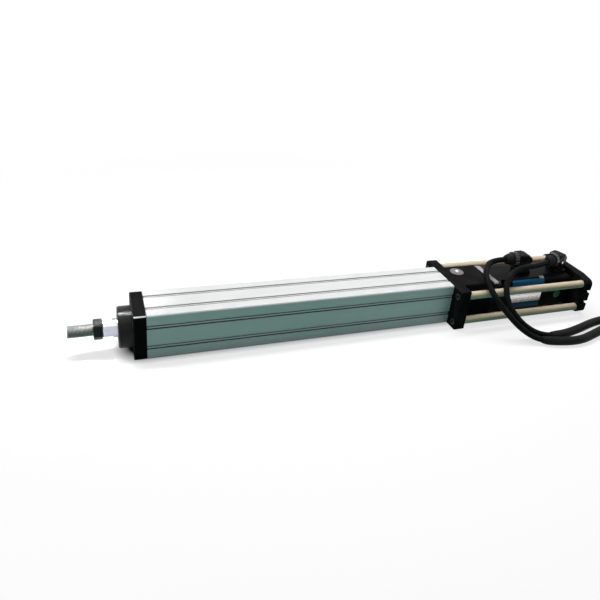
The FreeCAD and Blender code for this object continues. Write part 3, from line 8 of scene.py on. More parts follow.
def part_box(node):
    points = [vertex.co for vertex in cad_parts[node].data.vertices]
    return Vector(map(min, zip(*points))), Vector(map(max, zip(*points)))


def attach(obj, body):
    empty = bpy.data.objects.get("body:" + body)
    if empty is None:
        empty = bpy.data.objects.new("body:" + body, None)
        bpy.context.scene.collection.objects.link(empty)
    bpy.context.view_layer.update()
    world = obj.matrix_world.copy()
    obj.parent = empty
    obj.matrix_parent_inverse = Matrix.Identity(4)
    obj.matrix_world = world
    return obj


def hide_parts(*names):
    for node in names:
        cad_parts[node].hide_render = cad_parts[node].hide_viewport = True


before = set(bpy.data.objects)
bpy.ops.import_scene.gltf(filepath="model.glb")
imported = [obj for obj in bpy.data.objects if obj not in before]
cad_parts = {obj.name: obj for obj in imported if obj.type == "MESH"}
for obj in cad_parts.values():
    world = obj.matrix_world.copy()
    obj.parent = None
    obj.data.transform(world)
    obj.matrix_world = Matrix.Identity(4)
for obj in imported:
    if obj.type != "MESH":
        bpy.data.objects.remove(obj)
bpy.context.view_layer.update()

bl_info = {
    "name": "Linear actuator looks",
    "version": (1, 0, 0),
    "blender": (4, 5, 0),
    "location": "3D View > Sidebar > Actuator",
    "description": "Finishes, leads and small parts for the packed electric linear actuator",
    "category": "Object",
}

MM = 0.001
ALONG_X = (0.0, math.pi / 2, 0.0)

# Places of the pieces that the details sit on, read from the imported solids
STUD_LOW, STUD_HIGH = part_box("rod_end_stud")
NUT_LOW, NUT_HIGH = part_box("jam_nut")
CAP_LOW, CAP_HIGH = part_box("front_cap")
BODY_LOW, BODY_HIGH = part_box("body_extrusion")
ACCESS_LOW, ACCESS_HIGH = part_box("access_plug")
CAN_LOW, CAN_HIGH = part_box("motor_can")
RING_LOW, RING_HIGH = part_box("power_lead_ring")
HOOD_LOW, HOOD_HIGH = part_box("encoder_lead_hood")
MOTOR_FLANGE_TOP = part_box("motor_flange")[1].z
COVER_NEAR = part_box("motor_rear_cover")[0].y
REAR_PLATE_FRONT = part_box("rear_plate")[0].x
AXIS_Z = (NUT_LOW.z + NUT_HIGH.z) / 2

# Where the plate, the tab and the mark sit on the motor: along X, and the mark's X and Z
PLATE_X = (0.254, 0.317)
TAB_X = (0.309, 0.317)
MARK_X, MARK_Z = 0.3555, 0.026

# Routes of the two leads in millimetres: gland to coil, and coil to far end
POWER_RUN = [
    (252.0, 0.0, 85.5), (228.0, 0.0, 85.5), (207.0, -13.0, 83.5), (192.5, -36.5, 75.5),
    (192.5, -63.0, 61.0), (206.0, -84.0, 41.5), (227.5, -100.5, 20.0), (252.5, -113.5, 6.9),
    (284.0, -124.5, 6.9), (321.0, -129.0, 6.9), (359.5, -118.0, 6.9), (396.0, -106.5, 6.9),
    (431.0, -101.0, 6.9),
]
POWER_TAIL = [(428.0, -193.5, 22.5), (409.0, -187.0, 16.5), (390.0, -181.0, 12.5), (372.0, -181.0, 12.5)]
ENCODER_RUN = [
    (328.2, -12.3, 81.5), (303.0, -21.47, 81.5), (272.5, -26.5, 84.0), (242.0, -35.0, 82.5),
    (221.0, -49.5, 71.0), (215.5, -69.5, 50.5), (225.0, -87.0, 32.0), (245.0, -98.5, 16.0),
    (270.5, -106.5, 6.9), (303.0, -109.0, 6.9), (340.5, -101.5, 6.9), (381.0, -89.5, 6.9),
    (418.0, -85.5, 6.9), (446.5, -87.5, 4.5),
]
ENCODER_TAIL = [(440.0, -204.8, 22.0), (414.0, -209.0, 13.0), (397.0, -211.0, 8.0), (384.0, -211.0, 8.0)]

# Stretch of each lead, measured from its gland in millimetres, that its woven sleeve covers
POWER_SLEEVE = (207.0, 372.0)
ENCODER_SLEEVE = (236.0, 375.0)

# The camera: its turn, tilt and lean in degrees, its place in metres, and its lens in millimetres
CAMERA_ANGLES = (24.31, 25.0, 7.11)
CAMERA_PLACE = (-0.3601, -0.6867, 0.4766)
CAMERA_LENS, CAMERA_SENSOR = 35.9, 36.0
CAMERA_SHIFT = (-0.0567, -0.086)
CAMERA_NEAR = 0.01

# Each lamp's place, aim and size in metres, power in watts and spread in degrees
LAMPS = {
    "overhead_strip": ((0.0, 0.36, 1.2), (0.0, 0.0, 0.0), (1.8, 0.16), 13.6, 180.0),
    "overhead_softbox": ((0.05, 0.40, 1.3), (0.05, 0.05, 0.0), (2.2, 1.2), 7.2, 180.0),
    "front_softbox": ((-0.1, -0.60, 1.2), (0.0, 0.0, 0.03), (1.8, 0.5), 3.0, 180.0),
    "rod_glint": ((-0.33, 0.34, 1.15), (-0.368, 0.0, 0.045), (0.08, 0.16), 0.09, 9.0),
}

# Floor and background: metres, colours, and the strength of their own light
FLOOR_SIDE = 14.0
BENCH_GREEN = (0.05, 0.33, 0.28)
PAPER_GREY = (0.33, 0.33, 0.33)
PAPER_GLOW = 0.70
# SHADE_REACH: how far beside the object's footprint the painted shadow under it starts and finishes fading
SHADE_REACH = (0.02, 0.042)
PAPER_REACH = (0.45, 0.9)
SKY_LIGHT = 0.03

# Roughness of finishes that several pieces share, from the smoothest to the roughest spot
OXIDE_ROUGH = (0.3, 0.42)
PAINT_ROUGH = (0.3, 0.4)
FRAME_ROUGH = (0.36, 0.46)
PLASTIC_ROUGH = (0.4, 0.55)
JACKET_ROUGH = (0.26, 0.34)
SCREW_ROUGH = (0.2, 0.32)
NICKEL_ROUGH = (0.18, 0.3)

# Lines per metre along X, Y and Z in drawn, turned and rolled metal, or the same all ways
DRAWN_LINES = (3.0, 900.0, 900.0)
TURNED_LINES = (700.0, 60.0, 60.0)
SCREW_LINES = 400.0
NICKEL_LINES = 300.0


def metres(name, description, default):
    """A size in metres that a user may change."""
    return bpy.props.FloatProperty(name=name, description=description, default=default,
                                   min=0.0, unit="LENGTH")


def tint(name, description, *default):
    """A colour that a user may change."""
    return bpy.props.FloatVectorProperty(name=name, description=description, default=default,
                                         min=0.0, max=1.0, subtype="COLOR")


class ActuatorSizes(bpy.types.PropertyGroup):
    """Sizes of the pieces that are modelled here."""

    lead_diameter: metres("Lead diameter", "Outside of both leads' jackets", 0.009)
    power_lead_length: metres("Power lead length", "From its gland to its connector", 1.31)
    encoder_lead_length: metres("Encoder lead length", "From its gland to its hood", 1.46)
    sleeve_diameter: metres("Sleeve diameter", "Outside of the woven sleeve on each lead", 0.0134)
    coil_centre: bpy.props.FloatVectorProperty(
        name="Coil centre", description="Middle of the put-away turns on the bench",
        default=(0.490, -0.147, 0.0), size=3, subtype="XYZ")
    power_turn: metres("Power lead's turn", "Radius of the inner turns of the coil", 0.0475)
    encoder_turn: metres("Encoder lead's turn", "Radius of the outer turns of the coil", 0.0572)
    coil_layer: metres("Coil layer", "Rise from one turn of the coil to the next", 0.0095)
    thread_pitch: metres("Thread pitch", "Pitch of the rod end's thread", 0.0015)
    thread_depth: metres("Thread depth", "Depth of the rod end's thread", 0.0006)
    label_thickness: metres("Plate thickness", "Thickness of the plain plate on the motor", 0.0004)
    slot_offset: metres("Slot offset", "From the middle of a body's side to the middle of its slots", 0.0148)
    slot_depth: metres("Slot depth", "From the body's side to the floor of its slots", 0.0062)
    strip_width: metres("Strip width", "Width of the strip that stands in each slot", 0.0020)
    strip_set_back: metres("Strip set-back", "How far the strip stays below the body's side", 0.0003)
    cap_corner: metres("Cap's corner", "Radius of the front cap's long edges", 0.003)
    can_corner: metres("Can's corner", "Radius of the motor can's long edges", 0.007)
    mark_radius: metres("Mark's radius", "Radius of the round mark on the rear cover", 0.007)
    plug_turn: bpy.props.FloatProperty(
        name="Encoder plug's turn", description="How far the encoder plug is turned to the side",
        default=math.radians(20), subtype="ANGLE")


class ActuatorColours(bpy.types.PropertyGroup):
    """Colours of the finishes."""

    silver: tint("Body", "Satin anodised profile", 0.74, 0.76, 0.75)
    strip: tint("Slot strips", "Plain alloy strips in the body's slots", 0.78, 0.77, 0.80)
    black: tint("End blocks", "Black anodised blocks", 0.009, 0.009, 0.009)
    chrome: tint("Rod", "Ground and chromed rod", 0.55, 0.57, 0.66)
    zinc: tint("Plated steel", "Zinc plated stud and screws", 0.68, 0.70, 0.68)
    oxide: tint("Blackened steel", "Jam nut and socket screws", 0.035, 0.037, 0.038)
    tie_rod: tint("Tie rods", "Yellow passivated bars", 0.74, 0.62, 0.45)
    alloy: tint("Bare alloy", "Machined motor flange and hubs", 0.70, 0.70, 0.71)
    steel: tint("Ground steel", "Screw, nut and bearings", 0.55, 0.56, 0.57)
    stack: tint("Stack steel", "Stator and rotor stacks", 0.16, 0.16, 0.17)
    bronze: tint("Bronze", "Bushes of the rod guide", 0.46, 0.27, 0.10)
    copper: tint("Copper", "Windings", 0.56, 0.20, 0.07)
    rubber: tint("Rubber", "Wiper, bumpers and coupling star", 0.013, 0.013, 0.013)
    motor: tint("Motor", "Painted motor housing", 0.007, 0.007, 0.008)
    plug: tint("Plugs", "Moulded plugs and sockets", 0.009, 0.009, 0.010)
    jacket: tint("Leads", "Jackets of both leads", 0.011, 0.0114, 0.0116)
    slide: tint("Slide plastic", "Guide rings, keys and bush", 0.66, 0.62, 0.50)
    nickel: tint("Nickel", "Metal connector shells", 0.66, 0.60, 0.50)
    hood: tint("Hood", "Moulded hood of the encoder lead", 0.42, 0.47, 0.54)
    plate_band: tint("Plate bands", "Bands of the plain plate on the motor", 0.008, 0.15, 0.34)
    plate_field: tint("Plate field", "Middle of the plain plate on the motor", 0.95, 0.94, 0.98)
    tab: tint("Tab", "Small pale tab on the motor's upper edge", 0.60, 0.55, 0.48)
    mark: tint("Mark", "Round mark on the rear cover", 0.004, 0.16, 0.09)


# Nodes that the finishes are put together from

def add_node(tree, kind, inputs=None, **settings):
    """A new shader node with its settings; each input is a value or another node's output."""
    node = tree.nodes.new("ShaderNode" + kind)
    for name, value in settings.items():
        setattr(node, name, value)
    for name, value in (inputs or {}).items():
        if isinstance(value, bpy.types.NodeSocket):
            tree.links.new(value, node.inputs[name])
        else:
            node.inputs[name].default_value = value
    return node


def number_step(tree, operation, first, second, **settings):
    """One step of arithmetic on numbers."""
    return add_node(tree, "Math", {0: first, 1: second}, operation=operation, **settings).outputs["Value"]


def place_step(tree, operation, first, second=None, output="Vector"):
    """One step of arithmetic on places."""
    inputs = {0: first} if second is None else {0: first, 1: second}
    return add_node(tree, "VectorMath", inputs, operation=operation).outputs[output]


def own_place(tree):
    """The place in the object's own coordinates."""
    return add_node(tree, "TexCoord").outputs["Object"]


def parts_of(tree, place):
    """A place's parts along X, Y and Z."""
    return add_node(tree, "SeparateXYZ", {"Vector": place}).outputs


def off_axis(tree):
    """How far a place lies beside the actuator's axis, and above or below it."""
    return place_step(tree, "ABSOLUTE", place_step(tree, "SUBTRACT", own_place(tree), (0.0, 0.0, AXIS_Z)))


def grain(tree, cells, detail=3.0):
    """Noise on the object's own coordinates: cells per metre along X, Y and Z, or the same all ways."""
    scale = cells if isinstance(cells, tuple) else (cells, cells, cells)
    stretched = add_node(tree, "Mapping", {"Vector": own_place(tree), "Scale": scale}).outputs["Vector"]
    return add_node(tree, "TexNoise", {"Vector": stretched, "Scale": 1.0, "Detail": detail}).outputs["Fac"]


def between(tree, factor, low, high, start=0.3, end=0.7):
    """A number between two values, by a factor."""
    span = {"Value": factor, "From Min": start, "From Max": end, "To Min": low, "To Max": high}
    return add_node(tree, "MapRange", span).outputs["Result"]


def shade_between(tree, factor, dark, light, start=0.35, end=0.65):
    """A colour between two shades, by a factor."""
    ramp = add_node(tree, "ValToRGB", {"Fac": factor})
    for stop, position, shade in zip(ramp.color_ramp.elements, (start, end), (dark, light)):
        stop.position = position
        stop.color = (*shade, 1.0)
    return ramp.outputs["Color"]


def stepped(tree, factor, first, *steps):
    """A colour that changes in clean steps: the first, then each at its own start."""
    ramp = add_node(tree, "ValToRGB", {"Fac": factor})
    ramp.color_ramp.interpolation = "CONSTANT"
    stops = ramp.color_ramp.elements
    stops.remove(stops[1])
    stops[0].color = (*first, 1.0)
    for start, shade in steps:
        stops.new(start).color = (*shade, 1.0)
    return ramp.outputs["Color"]


def mix_colours(tree, factor, first, second, blend="MIX"):
    """Two colours mixed by a factor; each is a socket or three numbers."""
    inputs = {"Factor": factor}
    for place, shade in ((6, first), (7, second)):
        inputs[place] = shade if isinstance(shade, bpy.types.NodeSocket) else (*shade, 1.0)
    return add_node(tree, "Mix", inputs, data_type="RGBA", blend_type=blend).outputs[2]


def edge_rub(tree):
    """1 on sharp edges and 0 on flat faces, from the rounded and the true normal."""
    radius, sharp, flat = 0.0007, 0.80, 0.985
    rounded = add_node(tree, "Bevel", {"Radius": radius}, samples=6).outputs["Normal"]
    true = add_node(tree, "NewGeometry").outputs["Normal"]
    return between(tree, place_step(tree, "DOT_PRODUCT", rounded, true, "Value"), 1.0, 0.0, sharp, flat)


def toned(colour, share):
    """A colour made lighter or darker, kept within 0 to 1."""
    return tuple(min(1.0, max(0.0, part * share)) for part in colour)


# Finishes

def begin_finish(name, metallic, specular):
    """A new material with its constant values set on the shader."""
    finish = bpy.data.materials.new(name)
    finish.use_nodes = True
    shader = finish.node_tree.nodes["Principled BSDF"]
    shader.inputs["Metallic"].default_value = metallic
    shader.inputs["Specular IOR Level"].default_value = specular
    return finish, finish.node_tree


def lay_on(tree, colour, factor, rough, relief, depth):
    """Gives the shader a colour, a roughness by a factor, and a relief of a depth in metres."""
    shader = tree.nodes["Principled BSDF"]
    bump = add_node(tree, "Bump", {"Strength": 1.0, "Distance": depth, "Height": relief})
    tree.links.new(colour, shader.inputs["Base Color"])
    tree.links.new(between(tree, factor, *rough), shader.inputs["Roughness"])
    tree.links.new(bump.outputs["Normal"], shader.inputs["Normal"])


def lay_over(tree, factor, colour):
    """Lays a colour over what a finish already shows, by a factor."""
    base = tree.nodes["Principled BSDF"].inputs["Base Color"]
    tree.links.new(mix_colours(tree, factor, base.links[0].from_socket, colour), base)


def drawn_metal(name, colour, rough, lines, depth=0.00001, metallic=1.0, specular=0.5, spread=0.10):
    """Metal with fine lines along one way, as drawing, turning or grinding leaves them."""
    finish, tree = begin_finish(name, metallic, specular)
    streak = grain(tree, lines, 4.0)
    cloud = grain(tree, 28.0)
    dark = toned(colour, 1.0 - spread)
    streaked = shade_between(tree, streak, dark, toned(colour, 1.0 + spread / 2))
    clouded = shade_between(tree, cloud, dark, toned(colour, 1.0 + spread / 3))
    lay_on(tree, mix_colours(tree, 0.5, streaked, clouded), streak, rough, streak, depth)
    return finish


def blasted_black(name, colour, rough, bare, wear, specular):
    """Black anodised or painted metal: a fine blasted grain, and edges rubbed a little lighter."""
    finish, tree = begin_finish(name, 0.0, specular)
    fine = grain(tree, 2600.0, 2.0)
    cloud = grain(tree, 35.0, 4.0)
    skin = shade_between(tree, cloud, toned(colour, 0.75), toned(colour, 1.5))
    patches = between(tree, grain(tree, 160.0), 0.15, 1.0)
    rub = number_step(tree, "MULTIPLY", number_step(tree, "MULTIPLY", edge_rub(tree), patches), wear)
    lay_on(tree, mix_colours(tree, rub, skin, bare), cloud, rough, fine, 0.00002)
    return finish


def rubbed_and_highlit_cap(name, colour, rough, bare, half, corner):
    """Black anodised cap whose long edges are painted near-white, as rubbed-bare wear and as a painted
    highlight of their rounding; half is half its side, about the axis.
    """
    finish = blasted_black(name, colour, rough, bare, wear=0.4, specular=0.01)
    tree = finish.node_tree
    reach = place_step(tree, "DOT_PRODUCT", off_axis(tree), (0.0, 1.0, 1.0), "Value")
    # Band over the rounded long edges that gets the bare colour: rubbed wear and a painted highlight.
    edge = between(tree, reach, 0.0, 1.0, 2 * half - 0.72 * corner, 2 * half - 0.62 * corner)
    patches = between(tree, grain(tree, 120.0), 0.7, 1.0)
    lay_over(tree, number_step(tree, "MULTIPLY", edge, patches), bare)
    return finish


def painted_slot_shade(finish, half, shade):
    """Paints shade into a profile's slots: its finish is darkened below the outer faces, where shade falls;
    half is half its side, about the axis.
    """
    tree = finish.node_tree
    full_shade_below, no_shade_above = half - 0.0016, half - 0.0006
    parts = parts_of(tree, off_axis(tree))
    reach = number_step(tree, "MAXIMUM", parts["Y"], parts["Z"])
    lay_over(tree, between(tree, reach, 1.0, 0.0, full_shade_below, no_shade_above), shade)
    return finish


def bare_topped(name, colour, rough, bare, level):
    """Black painted metal whose top, above a level, is left bare."""
    finish = blasted_black(name, colour, rough, bare, wear=0.1, specular=0.03)
    tree = finish.node_tree
    height = parts_of(tree, own_place(tree))["Z"]
    milled = grain(tree, (90.0, 700.0, 90.0), 4.0)
    lines = shade_between(tree, milled, toned(bare, 0.85), toned(bare, 1.1))
    lay_over(tree, between(tree, height, 0.0, 1.0, level, level + 0.0004), lines)
    return finish


def moulded_plastic(name, colour, rough, specular, cells=900.0, depth=0.00003):
    """Moulded plastic or rubber: an even colour with a fine moulded grain."""
    finish, tree = begin_finish(name, 0.0, specular)
    cloud = grain(tree, 40.0)
    skin = shade_between(tree, cloud, toned(colour, 0.8), toned(colour, 1.25))
    lay_on(tree, skin, cloud, rough, grain(tree, cells, 2.0), depth)
    return finish


def wound_copper(name, colour):
    """Packed copper wire: rings of fine strands about the motor's axis."""
    finish, tree = begin_finish(name, 0.9, 0.5)
    strands = grain(tree, (60.0, 1100.0, 1100.0), 2.0)
    wire = shade_between(tree, strands, toned(colour, 0.45), toned(colour, 1.2))
    lay_on(tree, wire, strands, (0.55, 0.3), strands, 0.0003)
    return finish


def plate_print(name, field, band, low, high):
    """Plain printed foil plate: a bare field between two darker bands, with thin ruled lines."""
    field_low, field_high, rule_width = 0.23, 0.76, 0.015
    matt, foil = (0.0, 0.0, 0.0), (0.9, 0.9, 0.9)
    finish, tree = begin_finish(name, 0.0, 0.1)
    height = between(tree, parts_of(tree, own_place(tree))["Z"], 0.0, 1.0, low, high)
    steps = [(field_low, field), (field_high, band)]
    for start in (0.38, 0.53):
        steps += [(start, toned(field, 0.45)), (start + rule_width, field)]
    printed = stepped(tree, height, band, *steps)
    shine = stepped(tree, height, matt, (field_low, foil), (field_high, matt))
    tree.links.new(shine, tree.nodes["Principled BSDF"].inputs["Metallic"])
    ink = grain(tree, 260.0, 4.0)
    mottle = shade_between(tree, ink, (0.92, 0.91, 0.94), (1.0, 0.99, 1.0))
    lay_on(tree, mix_colours(tree, 1.0, printed, mottle, "MULTIPLY"), ink, (0.22, 0.30), ink, 0.00001)
    return finish


def dress(finish, *nodes):
    """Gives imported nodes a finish."""
    for node in nodes:
        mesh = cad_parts[node].data
        mesh.materials.clear()
        mesh.materials.append(finish)


# Modelling by hand

def clear_selection():
    """Nothing selected, in object mode."""
    if bpy.context.mode != "OBJECT":
        bpy.ops.object.mode_set(mode="OBJECT")
    bpy.ops.object.select_all(action="DESELECT")


def only(piece):
    """One piece selected and active."""
    clear_selection()
    piece.select_set(True)
    bpy.context.view_layer.objects.active = piece


@contextlib.contextmanager
def editing(piece):
    """Edit mode on one piece, and object mode after it."""
    only(piece)
    bpy.ops.object.mode_set(mode="EDIT")
    yield
    bpy.ops.object.mode_set(mode="OBJECT")


def apply_place(piece):
    """Puts a piece's place, turn and scale into its mesh."""
    only(piece)
    bpy.ops.object.transform_apply(location=True, rotation=True, scale=True)


def apply_modifiers(piece):
    """Applies every modifier of a piece."""
    only(piece)
    for modifier in list(piece.modifiers):
        bpy.ops.object.modifier_apply(modifier=modifier.name)


def pick(piece, kind, test):
    """In edit mode, selects the vertices, edges or faces that pass a test."""
    bpy.ops.mesh.select_mode(type=kind)
    bpy.ops.mesh.select_all(action="DESELECT")
    bpy.ops.object.mode_set(mode="OBJECT")
    mesh = piece.data
    for element in {"VERT": mesh.vertices, "EDGE": mesh.edges, "FACE": mesh.polygons}[kind]:
        element.select = test(element)
    bpy.ops.object.mode_set(mode="EDIT")


def settle(piece, name, finish, body):
    """Puts a piece's place into its mesh, names it, finishes it and lets it ride on its body."""
    apply_place(piece)
    piece.name = name
    piece.data.name = name
    piece.data.materials.clear()
    piece.data.materials.append(finish)
    bpy.ops.object.shade_smooth_by_angle(angle=math.radians(35))
    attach(piece, body)


def join_pieces(pieces):
    """Several objects joined into the first."""
    only(pieces[0])
    for piece in pieces:
        piece.select_set(True)
    bpy.ops.object.join()
    return pieces[0]


def round_edges(piece, width):
    """Bevels the sharp edges of a piece and applies it."""
    bevel = piece.modifiers.new("soft edges", "BEVEL")
    bevel.width = width
    bevel.segments = 1
    bevel.limit_method = "ANGLE"
    bevel.angle_limit = math.radians(40)
    apply_modifiers(piece)


def thicken(piece, wall, offset):
    """Gives a sheet its wall and applies it; an offset of 1 grows outwards and of -1 inwards."""
    solid = piece.modifiers.new("wall", "SOLIDIFY")
    solid.thickness = wall
    solid.offset = offset
    apply_modifiers(piece)


def round_bar(vertices, radius, length, centre, rotation=ALONG_X, **ends):
    """A round bar to start a piece from; its axis is local Z."""
    clear_selection()
    bpy.ops.mesh.primitive_cylinder_add(vertices=vertices, radius=radius, depth=length, location=centre,
                                        rotation=rotation, **ends)
    return bpy.context.object


def drawn_line(origin, start, steps):
    """A line of edges to start a piece from: an object at an origin, drawn from a start by steps."""
    clear_selection()
    bpy.ops.mesh.primitive_plane_add(size=MM, location=origin)
    line = bpy.context.object
    with editing(line):
        bpy.ops.mesh.select_mode(type="VERT")
        bpy.ops.mesh.select_all(action="SELECT")
        bpy.ops.mesh.merge(type="CENTER")
        bpy.ops.transform.translate(value=start)
        for step in steps:
            bpy.ops.mesh.extrude_vertices_move(TRANSFORM_OT_translate={"value": step})
    return line


def screw_head(radius, height, centre, rotation):
    """Low round screw head with a sunk middle; its axis is local Z."""
    head = round_bar(32, radius, height, centre, rotation)
    with editing(head):
        for rim, rise in ((0.35, 0.3), (0.25, -0.5)):
            pick(head, "FACE", lambda face: face.normal.z > 0.99)
            bpy.ops.mesh.inset(thickness=radius * rim)
            bpy.ops.transform.translate(value=(0.0, 0.0, height * rise), orient_type="LOCAL")
    return head


def screws(name, radius, height, seats, finish):
    """Like screw heads, one for each place and turn, as one piece on the housing."""
    heads = [screw_head(radius, height, place, turn) for place, turn in seats]
    settle(join_pieces(heads), name, finish, "housing")


# Pieces and stage, each group with its operator

def set_camera(scene):
    """The camera, turned about Z, tilted down from the level and leaned about its own line of sight."""
    lens = bpy.data.cameras.new("camera")
    lens.lens = CAMERA_LENS
    lens.sensor_width = CAMERA_SENSOR
    lens.shift_x, lens.shift_y = CAMERA_SHIFT
    lens.clip_start = CAMERA_NEAR
    camera = bpy.data.objects.new("camera", lens)
    scene.collection.objects.link(camera)
    turn, tilt, lean = (math.radians(angle) for angle in CAMERA_ANGLES)
    aim = Matrix.Rotation(-turn, 4, "Z") @ Matrix.Rotation(math.pi / 2 - tilt, 4, "X")
    camera.matrix_world = Matrix.Translation(CAMERA_PLACE) @ aim @ Matrix.Rotation(lean, 4, "Z")
    scene.camera = camera


def hang_lamp(scene, name, place, aim, size, power, spread):
    """A rectangular lamp that looks from a place at an aim."""
    lamp = bpy.data.lights.new(name, "AREA")
    lamp.shape = "RECTANGLE"
    lamp.size, lamp.size_y = size
    lamp.energy = power
    lamp.spread = math.radians(spread)
    holder = bpy.data.objects.new(name, lamp)
    scene.collection.objects.link(holder)
    holder.location = place
    holder.rotation_euler = (Vector(aim) - Vector(place)).to_track_quat("-Z", "Y").to_euler()


def seen_rays(tree):
    """1 for rays that show the background, in the view, in metal or through glass."""
    path = add_node(tree, "LightPath")
    total = path.outputs["Is Camera Ray"]
    for name in ("Is Glossy Ray", "Is Transmission Ray"):
        total = number_step(tree, "ADD", total, path.outputs[name], use_clamp=True)
    return total


def glow_with_painted_shadow(tree):
    """The paper's glow, taken away under the object to paint its shadow there: 0 on the floor under the
    object, and the full glow from a few centimetres beside it.
    """
    reach = (REAR_PLATE_FRONT - BODY_LOW.x) / 2
    place = own_place(tree)
    for step, other in (("SUBTRACT", (BODY_LOW.x + reach, 0.0, 0.0)), ("ABSOLUTE", None),
                        ("SUBTRACT", (reach, 0.0, 0.0)), ("MAXIMUM", (0.0, 0.0, 0.0))):
        place = place_step(tree, step, place, other)
    return between(tree, place_step(tree, "LENGTH", place, output="Value"), 0.0, PAPER_GLOW, *SHADE_REACH)


def floor_finish():
    """White where it is seen, with the object's soft shadow from the lamps and a painted shadow under it,
    and a green bench for bounced light.
    """
    finish = bpy.data.materials.new("pale_floor")
    finish.use_nodes = True
    tree = finish.node_tree
    tree.nodes.remove(tree.nodes["Principled BSDF"])
    bench = add_node(tree, "BsdfDiffuse", {"Color": (*BENCH_GREEN, 1.0)})
    paper = add_node(tree, "BsdfDiffuse", {"Color": (*PAPER_GREY, 1.0)})
    # The glow is taken away under the object, which paints its shadow there.
    glow = add_node(tree, "Emission", {"Strength": glow_with_painted_shadow(tree)})
    near = add_node(tree, "AddShader", {0: paper.outputs["BSDF"], 1: glow.outputs["Emission"]})
    far = add_node(tree, "Emission")
    reach = place_step(tree, "LENGTH", own_place(tree), output="Value")
    white = add_node(tree, "MixShader", {"Fac": between(tree, reach, 0.0, 1.0, *PAPER_REACH),
                                         1: near.outputs["Shader"], 2: far.outputs["Emission"]})
    choice = add_node(tree, "MixShader", {"Fac": seen_rays(tree),
                                          1: bench.outputs["BSDF"], 2: white.outputs["Shader"]})
    tree.links.new(choice.outputs["Shader"], tree.nodes["Material Output"].inputs["Surface"])
    return finish


class ACTUATOR_OT_stage(bpy.types.Operator):
    """Camera, lights, floor and background."""

    bl_idname = "actuator.stage"
    bl_label = "Stage"

    def execute(self, context):
        set_camera(context.scene)
        for name, lamp in LAMPS.items():
            hang_lamp(context.scene, name, *lamp)

        clear_selection()
        bpy.ops.mesh.primitive_plane_add(size=FLOOR_SIDE, location=(0.0, 0.0, 0.0))
        floor = context.object
        floor.name = "floor"
        floor.data.materials.append(floor_finish())

        world = bpy.data.worlds.new("studio")
        world.use_nodes = True
        context.scene.world = world
        tree = world.node_tree
        sky = tree.nodes["Background"]
        sky.inputs["Color"].default_value = (1.0, 1.0, 1.0, 1.0)
        strength = between(tree, seen_rays(tree), SKY_LIGHT, 1.0, 0.0, 1.0)
        tree.links.new(strength, sky.inputs["Strength"])
        context.scene.view_settings.view_transform = "Standard"
        return {"FINISHED"}


def coil_turns(radius, sizes):
    """Control points of two and a half clockwise turns, each laid on the one below."""
    count, per_turn, climb = 2.5, 16, 0.25
    reach = radius / math.cos(math.pi / per_turn)
    centre = Vector(sizes.coil_centre)
    points = []
    for step in range(int(count * per_turn) + 1):
        turn = step / per_turn
        angle = math.pi / 2 - 2 * math.pi * turn
        rise = min(1.0, max(0.0, (turn % 1.0 - (1.0 - climb)) / climb))
        layer = math.floor(turn) + rise * rise * (3 - 2 * rise)
        height = sizes.lead_diameter / 2 + sizes.coil_layer * layer
        points.append(centre + Vector((reach * math.cos(angle), reach * math.sin(angle), height)))
    return points


def round_tube(name, kind, radius, resolution, places):
    """A round tube along one open spline, as a curve object, and its spline."""
    curve = bpy.data.curves.new(name, "CURVE")
    curve.dimensions = "3D"
    curve.bevel_depth = radius
    curve.bevel_resolution = resolution
    curve.use_fill_caps = True
    spline = curve.splines.new(kind)
    spline.points.add(len(places) - 1)
    for point, place in zip(spline.points, places):
        point.co = (*place, 1.0)
    piece = bpy.data.objects.new(name, curve)
    bpy.context.scene.collection.objects.link(piece)
    return piece, spline


def lay_lead(name, run, radius, tail, sizes, finish):
    """One lead as a smooth spline through its route, its turns and its tail."""
    route = [Vector(place) * MM for place in run]
    route += coil_turns(radius, sizes)
    route += [Vector(place) * MM for place in tail]
    piece, spline = round_tube(name, "NURBS", sizes.lead_diameter / 2, 5, route)
    spline.order_u = 3
    spline.use_endpoint_u = True
    spline.use_smooth = True
    piece.data.resolution_u = 8
    piece.data.materials.append(finish)
    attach(piece, "housing")
    return piece


def middle_line(lead, stretch):
    """Places along a stretch of a lead's smooth line, and how far along the stretch each lies."""
    line = lead.data.copy()
    line.bevel_depth = 0.0
    line.resolution_u = 18
    holder = bpy.data.objects.new("middle_line", line)
    mesh = bpy.data.meshes.new_from_object(holder)
    vertices = [vertex.co.copy() for vertex in mesh.vertices]
    bpy.data.objects.remove(holder)
    bpy.data.curves.remove(line)
    bpy.data.meshes.remove(mesh)
    start, end = (along * MM for along in stretch)
    places, marks, run = [], [], 0.0
    for before, place in zip(vertices, vertices[1:]):
        run += (place - before).length
        if start <= run <= end:
            places.append(place)
            marks.append(run - start)
    return places, marks


def weave_sleeve(name, lead, stretch, sizes, finish):
    """Woven sleeve over a stretch of a lead: drawn in to the lead at its ends, with raised strands."""
    strand_gap, strand_rise, ends, turns_per_metre = 0.00025, 0.0003, 0.014, 9.0
    outer = sizes.sleeve_diameter / 2 - strand_rise
    neck = (sizes.lead_diameter / 2 + strand_rise) / outer
    places, marks = middle_line(lead, stretch)
    piece, spline = round_tube(name, "POLY", outer, 6, places)
    for point, along in zip(spline.points, marks):
        share = min(1.0, along / ends, (marks[-1] - along) / ends)
        point.radius = neck + (1.0 - neck) * share * (2.0 - share)
        point.tilt = 2 * math.pi * turns_per_metre * along
    only(piece)
    bpy.ops.object.convert(target="MESH")
    piece = bpy.context.object
    with editing(piece):
        pick(piece, "FACE", lambda face: len(face.vertices) == 4)
        bpy.ops.mesh.inset(thickness=strand_gap, depth=strand_rise, use_individual=True)
    settle(piece, name, finish, "housing")


